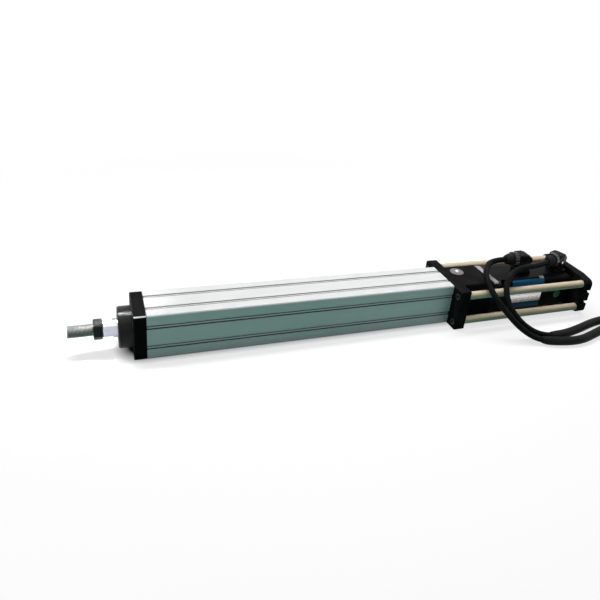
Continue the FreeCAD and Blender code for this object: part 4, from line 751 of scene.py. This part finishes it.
class ACTUATOR_OT_leads(bpy.types.Operator):
    """The power lead and the encoder lead, each with its woven sleeve and its turns in the coil."""

    bl_idname = "actuator.leads"
    bl_label = "Leads"

    def execute(self, context):
        sizes, jacket = context.scene.actuator_sizes, context.scene.actuator_colours.jacket
        finish = moulded_plastic("lead_jacket", jacket, JACKET_ROUGH, 0.015, cells=500.0, depth=0.00004)
        yarn = moulded_plastic("sleeve_yarn", toned(jacket, 1.1), (0.36, 0.5), 0.08, cells=1500.0,
                               depth=0.00008)
        power = lay_lead("power_lead", POWER_RUN, sizes.power_turn, POWER_TAIL, sizes, finish)
        weave_sleeve("power_lead_sleeve", power, POWER_SLEEVE, sizes, yarn)
        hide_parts("power_cable", "cable_coil")
        encoder = lay_lead("encoder_lead", ENCODER_RUN, sizes.encoder_turn, ENCODER_TAIL, sizes, finish)
        weave_sleeve("encoder_lead_sleeve", encoder, ENCODER_SLEEVE, sizes, yarn)
        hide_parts("encoder_cable")
        return {"FINISHED"}


def sweep_thread(x0, x1, pitch, root, depth):
    """Helical surface: one pitch of the flank's outline, carried round by a Screw modifier."""
    steps, weld = 48, 0.00002
    outline = ((0.14, 0.0), (0.31, depth), (0.16, 0.0), (0.31, -depth), (0.08, 0.0))
    thread = drawn_line((x0, 0.0, AXIS_Z), (0.0, 0.0, root),
                        [(along * pitch, 0.0, out) for along, out in outline])
    sweep = thread.modifiers.new("thread", "SCREW")
    sweep.axis = "X"
    sweep.screw_offset = pitch
    sweep.iterations = math.ceil((x1 - x0) / pitch)
    sweep.steps = steps
    sweep.render_steps = steps
    sweep.use_merge_vertices = True
    sweep.merge_threshold = weld
    apply_modifiers(thread)
    apply_place(thread)
    with editing(thread):
        bpy.ops.mesh.select_all(action="SELECT")
        bpy.ops.mesh.remove_doubles(threshold=weld)
    return thread


def trim_end(thread, x, away):
    """Cuts off what lies beyond a plane across the axis, and closes the cut."""
    with editing(thread):
        bpy.ops.mesh.select_all(action="SELECT")
        bpy.ops.mesh.bisect(plane_co=(x, 0.0, AXIS_Z), plane_no=away, use_fill=True, clear_outer=True,
                            threshold=0.0000001)
        bpy.ops.mesh.select_all(action="SELECT")
        bpy.ops.mesh.normals_make_consistent(inside=False)


def chamfer_tip(thread, x0, x1, crest, chamfer):
    """Cuts the thread down to a round bar with a chamfered tip."""
    blank = round_bar(96, crest, x1 - x0, ((x0 + x1) / 2, 0.0, AXIS_Z))
    apply_place(blank)
    tip = {vertex.index for vertex in blank.data.vertices if vertex.co.x < x0 + 0.00001}
    with editing(blank):
        pick(blank, "EDGE", lambda edge: tip.issuperset(edge.vertices))
        bpy.ops.mesh.bevel(offset=chamfer, segments=1, affect="EDGES")
    cut = thread.modifiers.new("chamfered end", "BOOLEAN")
    cut.operation = "INTERSECT"
    cut.solver = "EXACT"
    cut.object = blank
    apply_modifiers(thread)
    bpy.data.objects.remove(blank)


class ACTUATOR_OT_rod_end(bpy.types.Operator):
    """The rod end's stud with its cut thread."""

    bl_idname = "actuator.rod_end"
    bl_label = "Rod end thread"

    def execute(self, context):
        sizes = context.scene.actuator_sizes
        pitch, depth = sizes.thread_pitch, sizes.thread_depth
        crest = (STUD_HIGH.z - STUD_LOW.z) / 2
        root = crest - depth
        x_tip, x_nut, x_inner = STUD_LOW.x, NUT_LOW.x, STUD_HIGH.x
        x_end = x_nut + 0.5 * pitch
        thread = sweep_thread(x_tip - 2 * pitch, x_end + 2 * pitch, pitch, root, depth)
        trim_end(thread, x_tip, (-1.0, 0.0, 0.0))
        trim_end(thread, x_end, (1.0, 0.0, 0.0))
        chamfer_tip(thread, x_tip, x_end + pitch, crest, depth)
        reach = [vertex.co.x for vertex in thread.data.vertices]
        if not reach or min(reach) > x_tip + pitch or max(reach) < x_nut:
            raise RuntimeError("the rod end's thread didn't come out whole")
        shank = round_bar(48, root, x_inner - x_nut, ((x_nut + x_inner) / 2, 0.0, AXIS_Z))
        round_edges(shank, 0.0006)
        stud = join_pieces([thread, shank])
        finish = drawn_metal("rod_end_zinc", toned(context.scene.actuator_colours.zinc, 0.40), (0.42, 0.52),
                             (900.0, 200.0, 200.0), metallic=0.1, specular=0.4)
        settle(stud, "rod_end_thread", finish, "rod")
        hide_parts("rod_end_stud")
        return {"FINISHED"}


def raise_strip(sizes):
    """One strip: a foot on the floor of a slot in the body's top, a thin web, and a flat head."""
    gap, foot_width, foot_height, web_width, thick = 0.0004, 0.005, 0.0014, 0.0008, 0.0005
    length = BODY_HIGH.x - BODY_LOW.x - 2 * gap
    z_floor = BODY_HIGH.z - sizes.slot_depth
    centre = Vector(((BODY_LOW.x + BODY_HIGH.x) / 2, sizes.slot_offset, z_floor + foot_height / 2))
    clear_selection()
    bpy.ops.mesh.primitive_cube_add(size=1.0, location=centre, scale=(length, foot_width, foot_height))
    strip = bpy.context.object
    apply_place(strip)
    rise = sizes.slot_depth - sizes.strip_set_back - foot_height - thick
    with editing(strip):
        pick(strip, "FACE", lambda face: face.normal.z > 0.9)
        for share, up in ((web_width / foot_width, rise), (sizes.strip_width / web_width, thick)):
            bpy.ops.mesh.extrude_region_move(TRANSFORM_OT_translate={"value": (0.0, 0.0, 0.0)})
            bpy.ops.transform.resize(value=(1.0, share, 1.0), center_override=centre)
            bpy.ops.mesh.extrude_region_move(TRANSFORM_OT_translate={"value": (0.0, 0.0, up)})
    round_edges(strip, 0.0002)
    return strip


class ACTUATOR_OT_slot_strips(bpy.types.Operator):
    """Slim alloy strips that stand in the body's slots."""

    bl_idname = "actuator.slot_strips"
    bl_label = "Slot strips"

    def execute(self, context):
        sizes = context.scene.actuator_sizes
        first = raise_strip(sizes)
        strips = [first]
        to_axis = Matrix.Translation((0.0, 0.0, AXIS_Z))
        for quarter in range(4):
            turn = to_axis @ Matrix.Rotation(math.radians(90 * quarter), 4, "X") @ to_axis.inverted()
            for aside in (0.0, -2 * sizes.slot_offset):
                if quarter or aside:
                    strip = first.copy()
                    strip.data = first.data.copy()
                    context.scene.collection.objects.link(strip)
                    strip.data.transform(turn @ Matrix.Translation((0.0, aside, 0.0)))
                    strips.append(strip)
        finish = drawn_metal("strip_alloy", context.scene.actuator_colours.strip, (0.34, 0.46), DRAWN_LINES,
                             metallic=0.06, specular=0.25, spread=0.07)
        settle(join_pieces(strips), "slot_strips", finish, "housing")
        return {"FINISHED"}


class ACTUATOR_OT_access_screw(bpy.types.Operator):
    """The bright screw in the middle of the coupling box's access plug."""

    bl_idname = "actuator.access_screw"
    bl_label = "Access plug's screw"

    def execute(self, context):
        radius, height, turn = 0.0042, 0.0012, 0.3
        middle = (ACCESS_LOW + ACCESS_HIGH) / 2
        head = screw_head(radius, height, (middle.x, middle.y, ACCESS_HIGH.z), (0.0, 0.0, turn))
        finish = drawn_metal("access_screw_zinc", toned(context.scene.actuator_colours.zinc, 0.6),
                             (0.24, 0.36), SCREW_LINES)
        settle(head, "access_plug_screw", finish, "housing")
        return {"FINISHED"}


def over_edge(corner, first, last):
    """Points in Y and Z over the can's near upper edge, between two angles from its near face."""
    steps = 8
    angles = [math.radians(first + (last - first) * step / steps) for step in range(steps + 1)]
    return [(CAN_LOW.y + corner * (1.0 - math.cos(angle)), CAN_HIGH.z - corner * (1.0 - math.sin(angle)))
            for angle in angles]


def bent_sheet(ends, outline, thick, rounding):
    """A thin sheet between two ends along X whose section follows an outline, with round corners."""
    x0, x1 = ends
    sheet = drawn_line((0.0, 0.0, 0.0), (x0, *outline[0]),
                       [(0.0, y1 - y0, z1 - z0) for (y0, z0), (y1, z1) in zip(outline, outline[1:])])
    borders = (outline[0], outline[-1])

    def is_corner(vertex):
        return min(abs(vertex.co.y - y) + abs(vertex.co.z - z) for y, z in borders) < 0.00001

    with editing(sheet):
        bpy.ops.mesh.select_all(action="SELECT")
        bpy.ops.mesh.extrude_edges_move(TRANSFORM_OT_translate={"value": (x1 - x0, 0.0, 0.0)})
        pick(sheet, "VERT", is_corner)
        bpy.ops.mesh.bevel(offset=rounding, segments=4, affect="VERTICES")
    if sum(face.normal.y * face.area for face in sheet.data.polygons) > 0.0:
        with editing(sheet):
            bpy.ops.mesh.select_all(action="SELECT")
            bpy.ops.mesh.flip_normals()
    thicken(sheet, thick, 1.0)
    return sheet


def rimmed_mark(radius, centre):
    """A low round mark with a raised rim, on a face that looks along -Y."""
    thick, rim, slope, step = 0.0006, 0.0008, 0.0022, 0.0002
    mark = round_bar(40, radius, thick, centre, (math.pi / 2, 0.0, 0.0))
    apply_place(mark)
    with editing(mark):
        pick(mark, "FACE", lambda face: face.normal.y < -0.9)
        for inset, move in ((rim, -step), (slope, step)):
            bpy.ops.mesh.inset(thickness=inset)
            bpy.ops.transform.translate(value=(0.0, move, 0.0))
    return mark


class ACTUATOR_OT_motor_plate(bpy.types.Operator):
    """The plain plate, the pale tab and the round mark on the motor's near side."""

    bl_idname = "actuator.motor_plate"
    bl_label = "Motor plate"

    def execute(self, context):
        sizes, colours = context.scene.actuator_sizes, context.scene.actuator_colours
        corner, thick = sizes.can_corner, sizes.label_thickness
        z_low, z_high = CAN_LOW.z + corner, CAN_HIGH.z - corner
        plate = bent_sheet(PLATE_X, [(CAN_LOW.y, z_low), *over_edge(corner, 0.0, 52.0)], thick, 0.0018)
        foil = plate_print("motor_plate_print", colours.plate_field, colours.plate_band, z_low, z_high)
        settle(plate, "motor_plate", foil, "housing")

        tab = bent_sheet(TAB_X, over_edge(corner, 50.0, 90.0), 2 * thick, 0.0008)
        settle(tab, "motor_tab", moulded_plastic("tab_film", colours.tab, PLASTIC_ROUGH, 0.3), "housing")

        mark = rimmed_mark(sizes.mark_radius, (MARK_X, COVER_NEAR, MARK_Z))
        settle(mark, "green_mark", moulded_plastic("green_film", colours.mark, (0.35, 0.5), 0.4), "housing")
        return {"FINISHED"}


def turned_place(seat, turn, local):
    """A place on a plug, from its own x, y and height above its seat."""
    return seat + Matrix.Rotation(turn, 3, "Z") @ Vector(local)


def socket_screws(use, seat, half, finish):
    """Four small screws in the corners of a socket's square base."""
    radius, height, edge, base, turn = 0.0019, 0.0012, 0.0028, 0.0052, 0.4
    reach = half - edge
    seats = [(seat + Vector((sx * reach, sy * reach, base)), (0.0, 0.0, turn * sx * sy))
             for sx in (1, -1) for sy in (1, -1)]
    screws(use + "_socket_screws", radius, height, seats, finish)


def side_screws(seat, turn, finish):
    """A screw head on each side of the encoder plug."""
    radius, height, back, aside, up = 0.0023, 0.0016, -0.0045, 0.0108, 0.0196
    seats = [(turned_place(seat, turn, (back, side * aside, up)), (side * -math.pi / 2, 0.0, turn))
             for side in (1, -1)]
    screws("encoder_plug_screws", radius, height, seats, finish)


def gland_ribs(use, seat, turn, finish):
    """Rounded ribs along a gland's taper, smaller towards the lead."""
    x_wide, x_narrow, r_wide, r_narrow, up = -0.0285, -0.0360, 0.0090, 0.0062, 0.024
    count, first, sunk, thick = 4, 0.55, 0.0003, 0.0008
    ribs = []
    for step in range(count):
        share = (step + first) / count
        place = turned_place(seat, turn, (x_wide + (x_narrow - x_wide) * share, 0.0, up))
        clear_selection()
        bpy.ops.mesh.primitive_torus_add(location=place, rotation=(0.0, math.pi / 2, turn),
                                         major_radius=r_wide + (r_narrow - r_wide) * share - sunk,
                                         minor_radius=thick, major_segments=40, minor_segments=10)
        ribs.append(bpy.context.object)
    settle(join_pieces(ribs), use + "_gland_ribs", finish, "housing")


class ACTUATOR_OT_plug_details(bpy.types.Operator):
    """Socket screws and ribbed gland sleeves of the two plugs, and the encoder plug's side screws."""

    bl_idname = "actuator.plug_details"
    bl_label = "Plug details"

    def execute(self, context):
        sizes, colours = context.scene.actuator_sizes, context.scene.actuator_colours
        boot = moulded_plastic("gland_rubber", colours.rubber, PLASTIC_ROUGH, 0.1)
        oxide = blasted_black("socket_screw_oxide", colours.oxide, OXIDE_ROUGH, (0.2, 0.2, 0.2), 0.3, 0.1)
        zinc = drawn_metal("plug_screw_zinc", colours.zinc, SCREW_ROUGH, SCREW_LINES)
        for use, turn in (("power", 0.0), ("encoder", sizes.plug_turn)):
            low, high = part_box(use + "_socket")
            seat = Vector(((low.x + high.x) / 2, (low.y + high.y) / 2, low.z))
            socket_screws(use, seat, (high.x - low.x) / 2, oxide)
            gland_ribs(use, seat, turn, boot)
        side_screws(seat, turn, zinc)
        return {"FINISHED"}


def knurled_ring():
    """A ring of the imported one's size, with straight ribs round its outside."""
    bore, groove, rib, rib_pitch = 0.00905, 0.0006, 0.0005, 7.5
    centre = (RING_LOW + RING_HIGH) / 2
    outer = (RING_HIGH.z - RING_LOW.z) / 2
    ring = round_bar(96, outer - groove, RING_HIGH.x - RING_LOW.x, centre, end_fill_type="NOTHING")
    apply_place(ring)
    thicken(ring, outer - groove - bore, -1.0)

    def is_rib(face):
        out = Vector((0.0, face.center.y - centre.y, face.center.z - centre.z))
        turn = math.degrees(math.atan2(out.z, out.y)) % rib_pitch
        return out.length > outer - 2 * groove and abs(face.normal.x) < 0.3 and turn < rib_pitch / 2

    with editing(ring):
        pick(ring, "FACE", is_rib)
        bpy.ops.mesh.extrude_region_shrink_fatten(TRANSFORM_OT_shrink_fatten={"value": rib})
    return ring


class ACTUATOR_OT_lead_ends(bpy.types.Operator):
    """Knurled ring of the power lead's connector, and the thumb screws of the encoder lead's hood."""

    bl_idname = "actuator.lead_ends"
    bl_label = "Lead ends"

    def execute(self, context):
        colours = context.scene.actuator_colours
        nickel = drawn_metal("connector_nickel", colours.nickel, NICKEL_ROUGH, NICKEL_LINES)
        ring = knurled_ring()
        settle(ring, "connector_knurled_ring", nickel, "housing")
        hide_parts("power_lead_ring")

        radius, height, turn, back, aside, sunk = 0.0028, 0.0012, 0.5, 0.006, 0.0135, 0.0002
        x, y, z = HOOD_LOW.x + back, (HOOD_LOW.y + HOOD_HIGH.y) / 2, HOOD_HIGH.z - sunk
        seats = [((x, y + side * aside, z), (0.0, 0.0, turn)) for side in (1, -1)]
        zinc = drawn_metal("hood_screw_zinc", colours.zinc, SCREW_ROUGH, SCREW_LINES)
        screws("hood_screws", radius, height, seats, zinc)
        return {"FINISHED"}


class ACTUATOR_OT_finish_body(bpy.types.Operator):
    """Finishes of the body, the cap, the guide and the rod."""

    bl_idname = "actuator.finish_body"
    bl_label = "Body and rod finishes"

    def execute(self, context):
        sizes, colours = context.scene.actuator_sizes, context.scene.actuator_colours
        profile = drawn_metal("satin_profile", colours.silver, (0.38, 0.5), DRAWN_LINES, depth=0.000012,
                              metallic=0.06, specular=0.25, spread=0.07)
        half_body, half_cap = (BODY_HIGH.z - BODY_LOW.z) / 2, (CAP_HIGH.z - CAP_LOW.z) / 2
        # The body's finish gets painted shade inside its slots.
        dress(painted_slot_shade(profile, half_body, toned(colours.silver, 0.12)), "body_extrusion")
        # The cap's near-white bare colour also paints the highlight on its long edges.
        dress(rubbed_and_highlit_cap("cap_black", toned(colours.black, 0.6), FRAME_ROUGH, (0.95, 0.95, 0.94),
                         half_cap, sizes.cap_corner), "front_cap")
        dress(blasted_black("guide_black", toned(colours.black, 0.5), (0.27, 0.33), (0.35, 0.35, 0.34),
                            wear=0.5, specular=0.14), "rod_guide", "nut_carrier")
        dress(drawn_metal("body_bolt_zinc", colours.zinc, (0.2, 0.34), SCREW_LINES), "body_bolts")
        dress(drawn_metal("rod_chrome", colours.chrome, (0.10, 0.2), TURNED_LINES, depth=0.000006),
              "piston_rod")
        dress(blasted_black("nut_oxide", colours.oxide, OXIDE_ROUGH, (0.2, 0.2, 0.2),
                            wear=0.4, specular=0.03), "jam_nut")
        dress(drawn_metal("guide_bronze", colours.bronze, (0.3, 0.45), (500.0, 80.0, 80.0)), "rod_bushes")
        dress(moulded_plastic("wiper_rubber", colours.rubber, (0.5, 0.65), 0.3), "rod_wiper", "end_bumpers")
        dress(moulded_plastic("slide_plastic", colours.slide, PLASTIC_ROUGH, 0.4),
              "guide_rings", "guide_keys")
        dress(drawn_metal("magnet_stack", colours.stack, (0.4, 0.55), 300.0, depth=0.00002), "magnet_ring")
        return {"FINISHED"}


class ACTUATOR_OT_finish_drive(bpy.types.Operator):
    """Finishes of the screw, its bearings and the coupling."""

    bl_idname = "actuator.finish_drive"
    bl_label = "Drive finishes"

    def execute(self, context):
        colours = context.scene.actuator_colours
        dress(drawn_metal("ground_steel", colours.steel, (0.16, 0.3), (600.0, 90.0, 90.0)),
              "ball_screw", "ball_nut", "bearing_outer_rings", "bearing_inner_rings", "bearing_ball_cages",
              "bearing_lock_nut", "bearing_cover", "motor_shaft", "motor_bearings")
        dress(moulded_plastic("screw_bush_plastic", colours.slide, PLASTIC_ROUGH, 0.4), "screw_tip_bush")
        dress(drawn_metal("hub_alloy", colours.alloy, (0.24, 0.38), (700.0, 80.0, 80.0)),
              "coupling_hub_front", "coupling_hub_rear", "motor_end_shield")
        dress(moulded_plastic("star_rubber", colours.rubber, PLASTIC_ROUGH, 0.4), "coupling_spider")
        dress(drawn_metal("lamination_stack", colours.stack, (0.4, 0.55), (1600.0, 20.0, 20.0),
                          depth=0.00005), "stator_core", "rotor_core")
        dress(wound_copper("winding_copper", colours.copper), "stator_windings")
        dress(moulded_plastic("disc_plastic", colours.slide, (0.25, 0.35), 0.5), "encoder_disc")
        return {"FINISHED"}


class ACTUATOR_OT_finish_rear(bpy.types.Operator):
    """Finishes of the rear flange, coupling box, tie rods and rear plate."""

    bl_idname = "actuator.finish_rear"
    bl_label = "Rear frame finishes"

    def execute(self, context):
        colours = context.scene.actuator_colours
        dress(blasted_black("frame_black", colours.black, FRAME_ROUGH, (0.16, 0.16, 0.15),
                            wear=0.35, specular=0.006), "rear_flange", "coupling_box", "rear_plate")
        dress(drawn_metal("tie_rod_steel", colours.tie_rod, (0.26, 0.38), (4.0, 500.0, 500.0),
                          metallic=0.02, specular=0.05), "tie_rods")
        dress(blasted_black("screw_oxide", colours.oxide, OXIDE_ROUGH, (0.3, 0.3, 0.3),
                            wear=0.6, specular=0.25),
              "tie_rod_front_screws", "tie_rod_rear_screws", "box_screws", "bearing_cover_screws")
        dress(drawn_metal("access_plug_zinc", toned(colours.zinc, 0.26), (0.26, 0.38), 500.0,
                          metallic=0.1, specular=0.2), "access_plug")
        return {"FINISHED"}


class ACTUATOR_OT_finish_motor(bpy.types.Operator):
    """Finishes of the motor's housing, plugs and lead ends."""

    bl_idname = "actuator.finish_motor"
    bl_label = "Motor and plug finishes"

    def execute(self, context):
        colours = context.scene.actuator_colours
        bare_from = MOTOR_FLANGE_TOP - 0.003
        dress(bare_topped("motor_flange_paint", colours.motor, PAINT_ROUGH, toned(colours.alloy, 0.58),
                          bare_from), "motor_flange")
        dress(blasted_black("motor_screw_oxide", colours.oxide, OXIDE_ROUGH, (0.2, 0.2, 0.2),
                            wear=0.4, specular=0.1), "motor_screws")
        dress(blasted_black("motor_paint", colours.motor, PAINT_ROUGH, (0.05, 0.05, 0.05),
                            wear=0.3, specular=0.018), "motor_can", "motor_rear_cover")
        dress(moulded_plastic("plug_plastic", colours.plug, (0.26, 0.4), 0.08),
              "power_socket", "encoder_socket", "power_plug", "encoder_plug", "coil_tie")
        dress(drawn_metal("ring_oxide", toned(colours.oxide, 0.6), (0.14, 0.22), (400.0, 90.0, 90.0),
                          metallic=0.0), "plug_rings")
        dress(moulded_plastic("gland_plastic", colours.rubber, PLASTIC_ROUGH, 0.1), "plug_glands")
        dress(drawn_metal("shell_nickel", colours.nickel, NICKEL_ROUGH, NICKEL_LINES),
              "power_lead_connector", "power_lead_ring", "encoder_lead_shell")
        dress(moulded_plastic("hood_plastic", colours.hood, PLASTIC_ROUGH, 0.45), "encoder_lead_hood")
        dress(moulded_plastic("route_jacket", colours.jacket, JACKET_ROUGH, 0.015),
              "power_cable", "encoder_cable", "cable_coil")
        dress(drawn_metal("stud_zinc", colours.zinc, (0.22, 0.36), TURNED_LINES), "rod_end_stud")
        return {"FINISHED"}


class ACTUATOR_PT_panel(bpy.types.Panel):
    """Lists the operators, sizes and colours in the sidebar."""

    bl_idname = "ACTUATOR_PT_panel"
    bl_label = "Linear actuator"
    bl_space_type = "VIEW_3D"
    bl_region_type = "UI"
    bl_category = "Actuator"

    def draw(self, context):
        for operator in OPERATORS:
            self.layout.operator(operator.bl_idname)
        for group in (context.scene.actuator_sizes, context.scene.actuator_colours):
            column = self.layout.column()
            for name in group.__annotations__:
                column.prop(group, name)


OPERATORS = (
    ACTUATOR_OT_stage,
    ACTUATOR_OT_lead_ends,
    ACTUATOR_OT_leads,
    ACTUATOR_OT_rod_end,
    ACTUATOR_OT_slot_strips,
    ACTUATOR_OT_access_screw,
    ACTUATOR_OT_motor_plate,
    ACTUATOR_OT_plug_details,
    ACTUATOR_OT_finish_body,
    ACTUATOR_OT_finish_drive,
    ACTUATOR_OT_finish_rear,
    ACTUATOR_OT_finish_motor,
)
CLASSES = (ActuatorSizes, ActuatorColours, *OPERATORS, ACTUATOR_PT_panel)


def register():
    for kind in CLASSES:
        bpy.utils.register_class(kind)
    bpy.types.Scene.actuator_sizes = bpy.props.PointerProperty(type=ActuatorSizes)
    bpy.types.Scene.actuator_colours = bpy.props.PointerProperty(type=ActuatorColours)


def unregister():
    del bpy.types.Scene.actuator_colours
    del bpy.types.Scene.actuator_sizes
    for kind in reversed(CLASSES):
        bpy.utils.unregister_class(kind)


def main():
    register()
    bpy.ops.actuator.stage()
    bpy.ops.actuator.lead_ends()
    bpy.ops.actuator.leads()
    bpy.ops.actuator.rod_end()
    bpy.ops.actuator.slot_strips()
    bpy.ops.actuator.access_screw()
    bpy.ops.actuator.motor_plate()
    bpy.ops.actuator.plug_details()
    bpy.ops.actuator.finish_body()
    bpy.ops.actuator.finish_drive()
    bpy.ops.actuator.finish_rear()
    bpy.ops.actuator.finish_motor()
    clear_selection()


if __name__ == "__main__":
    main()
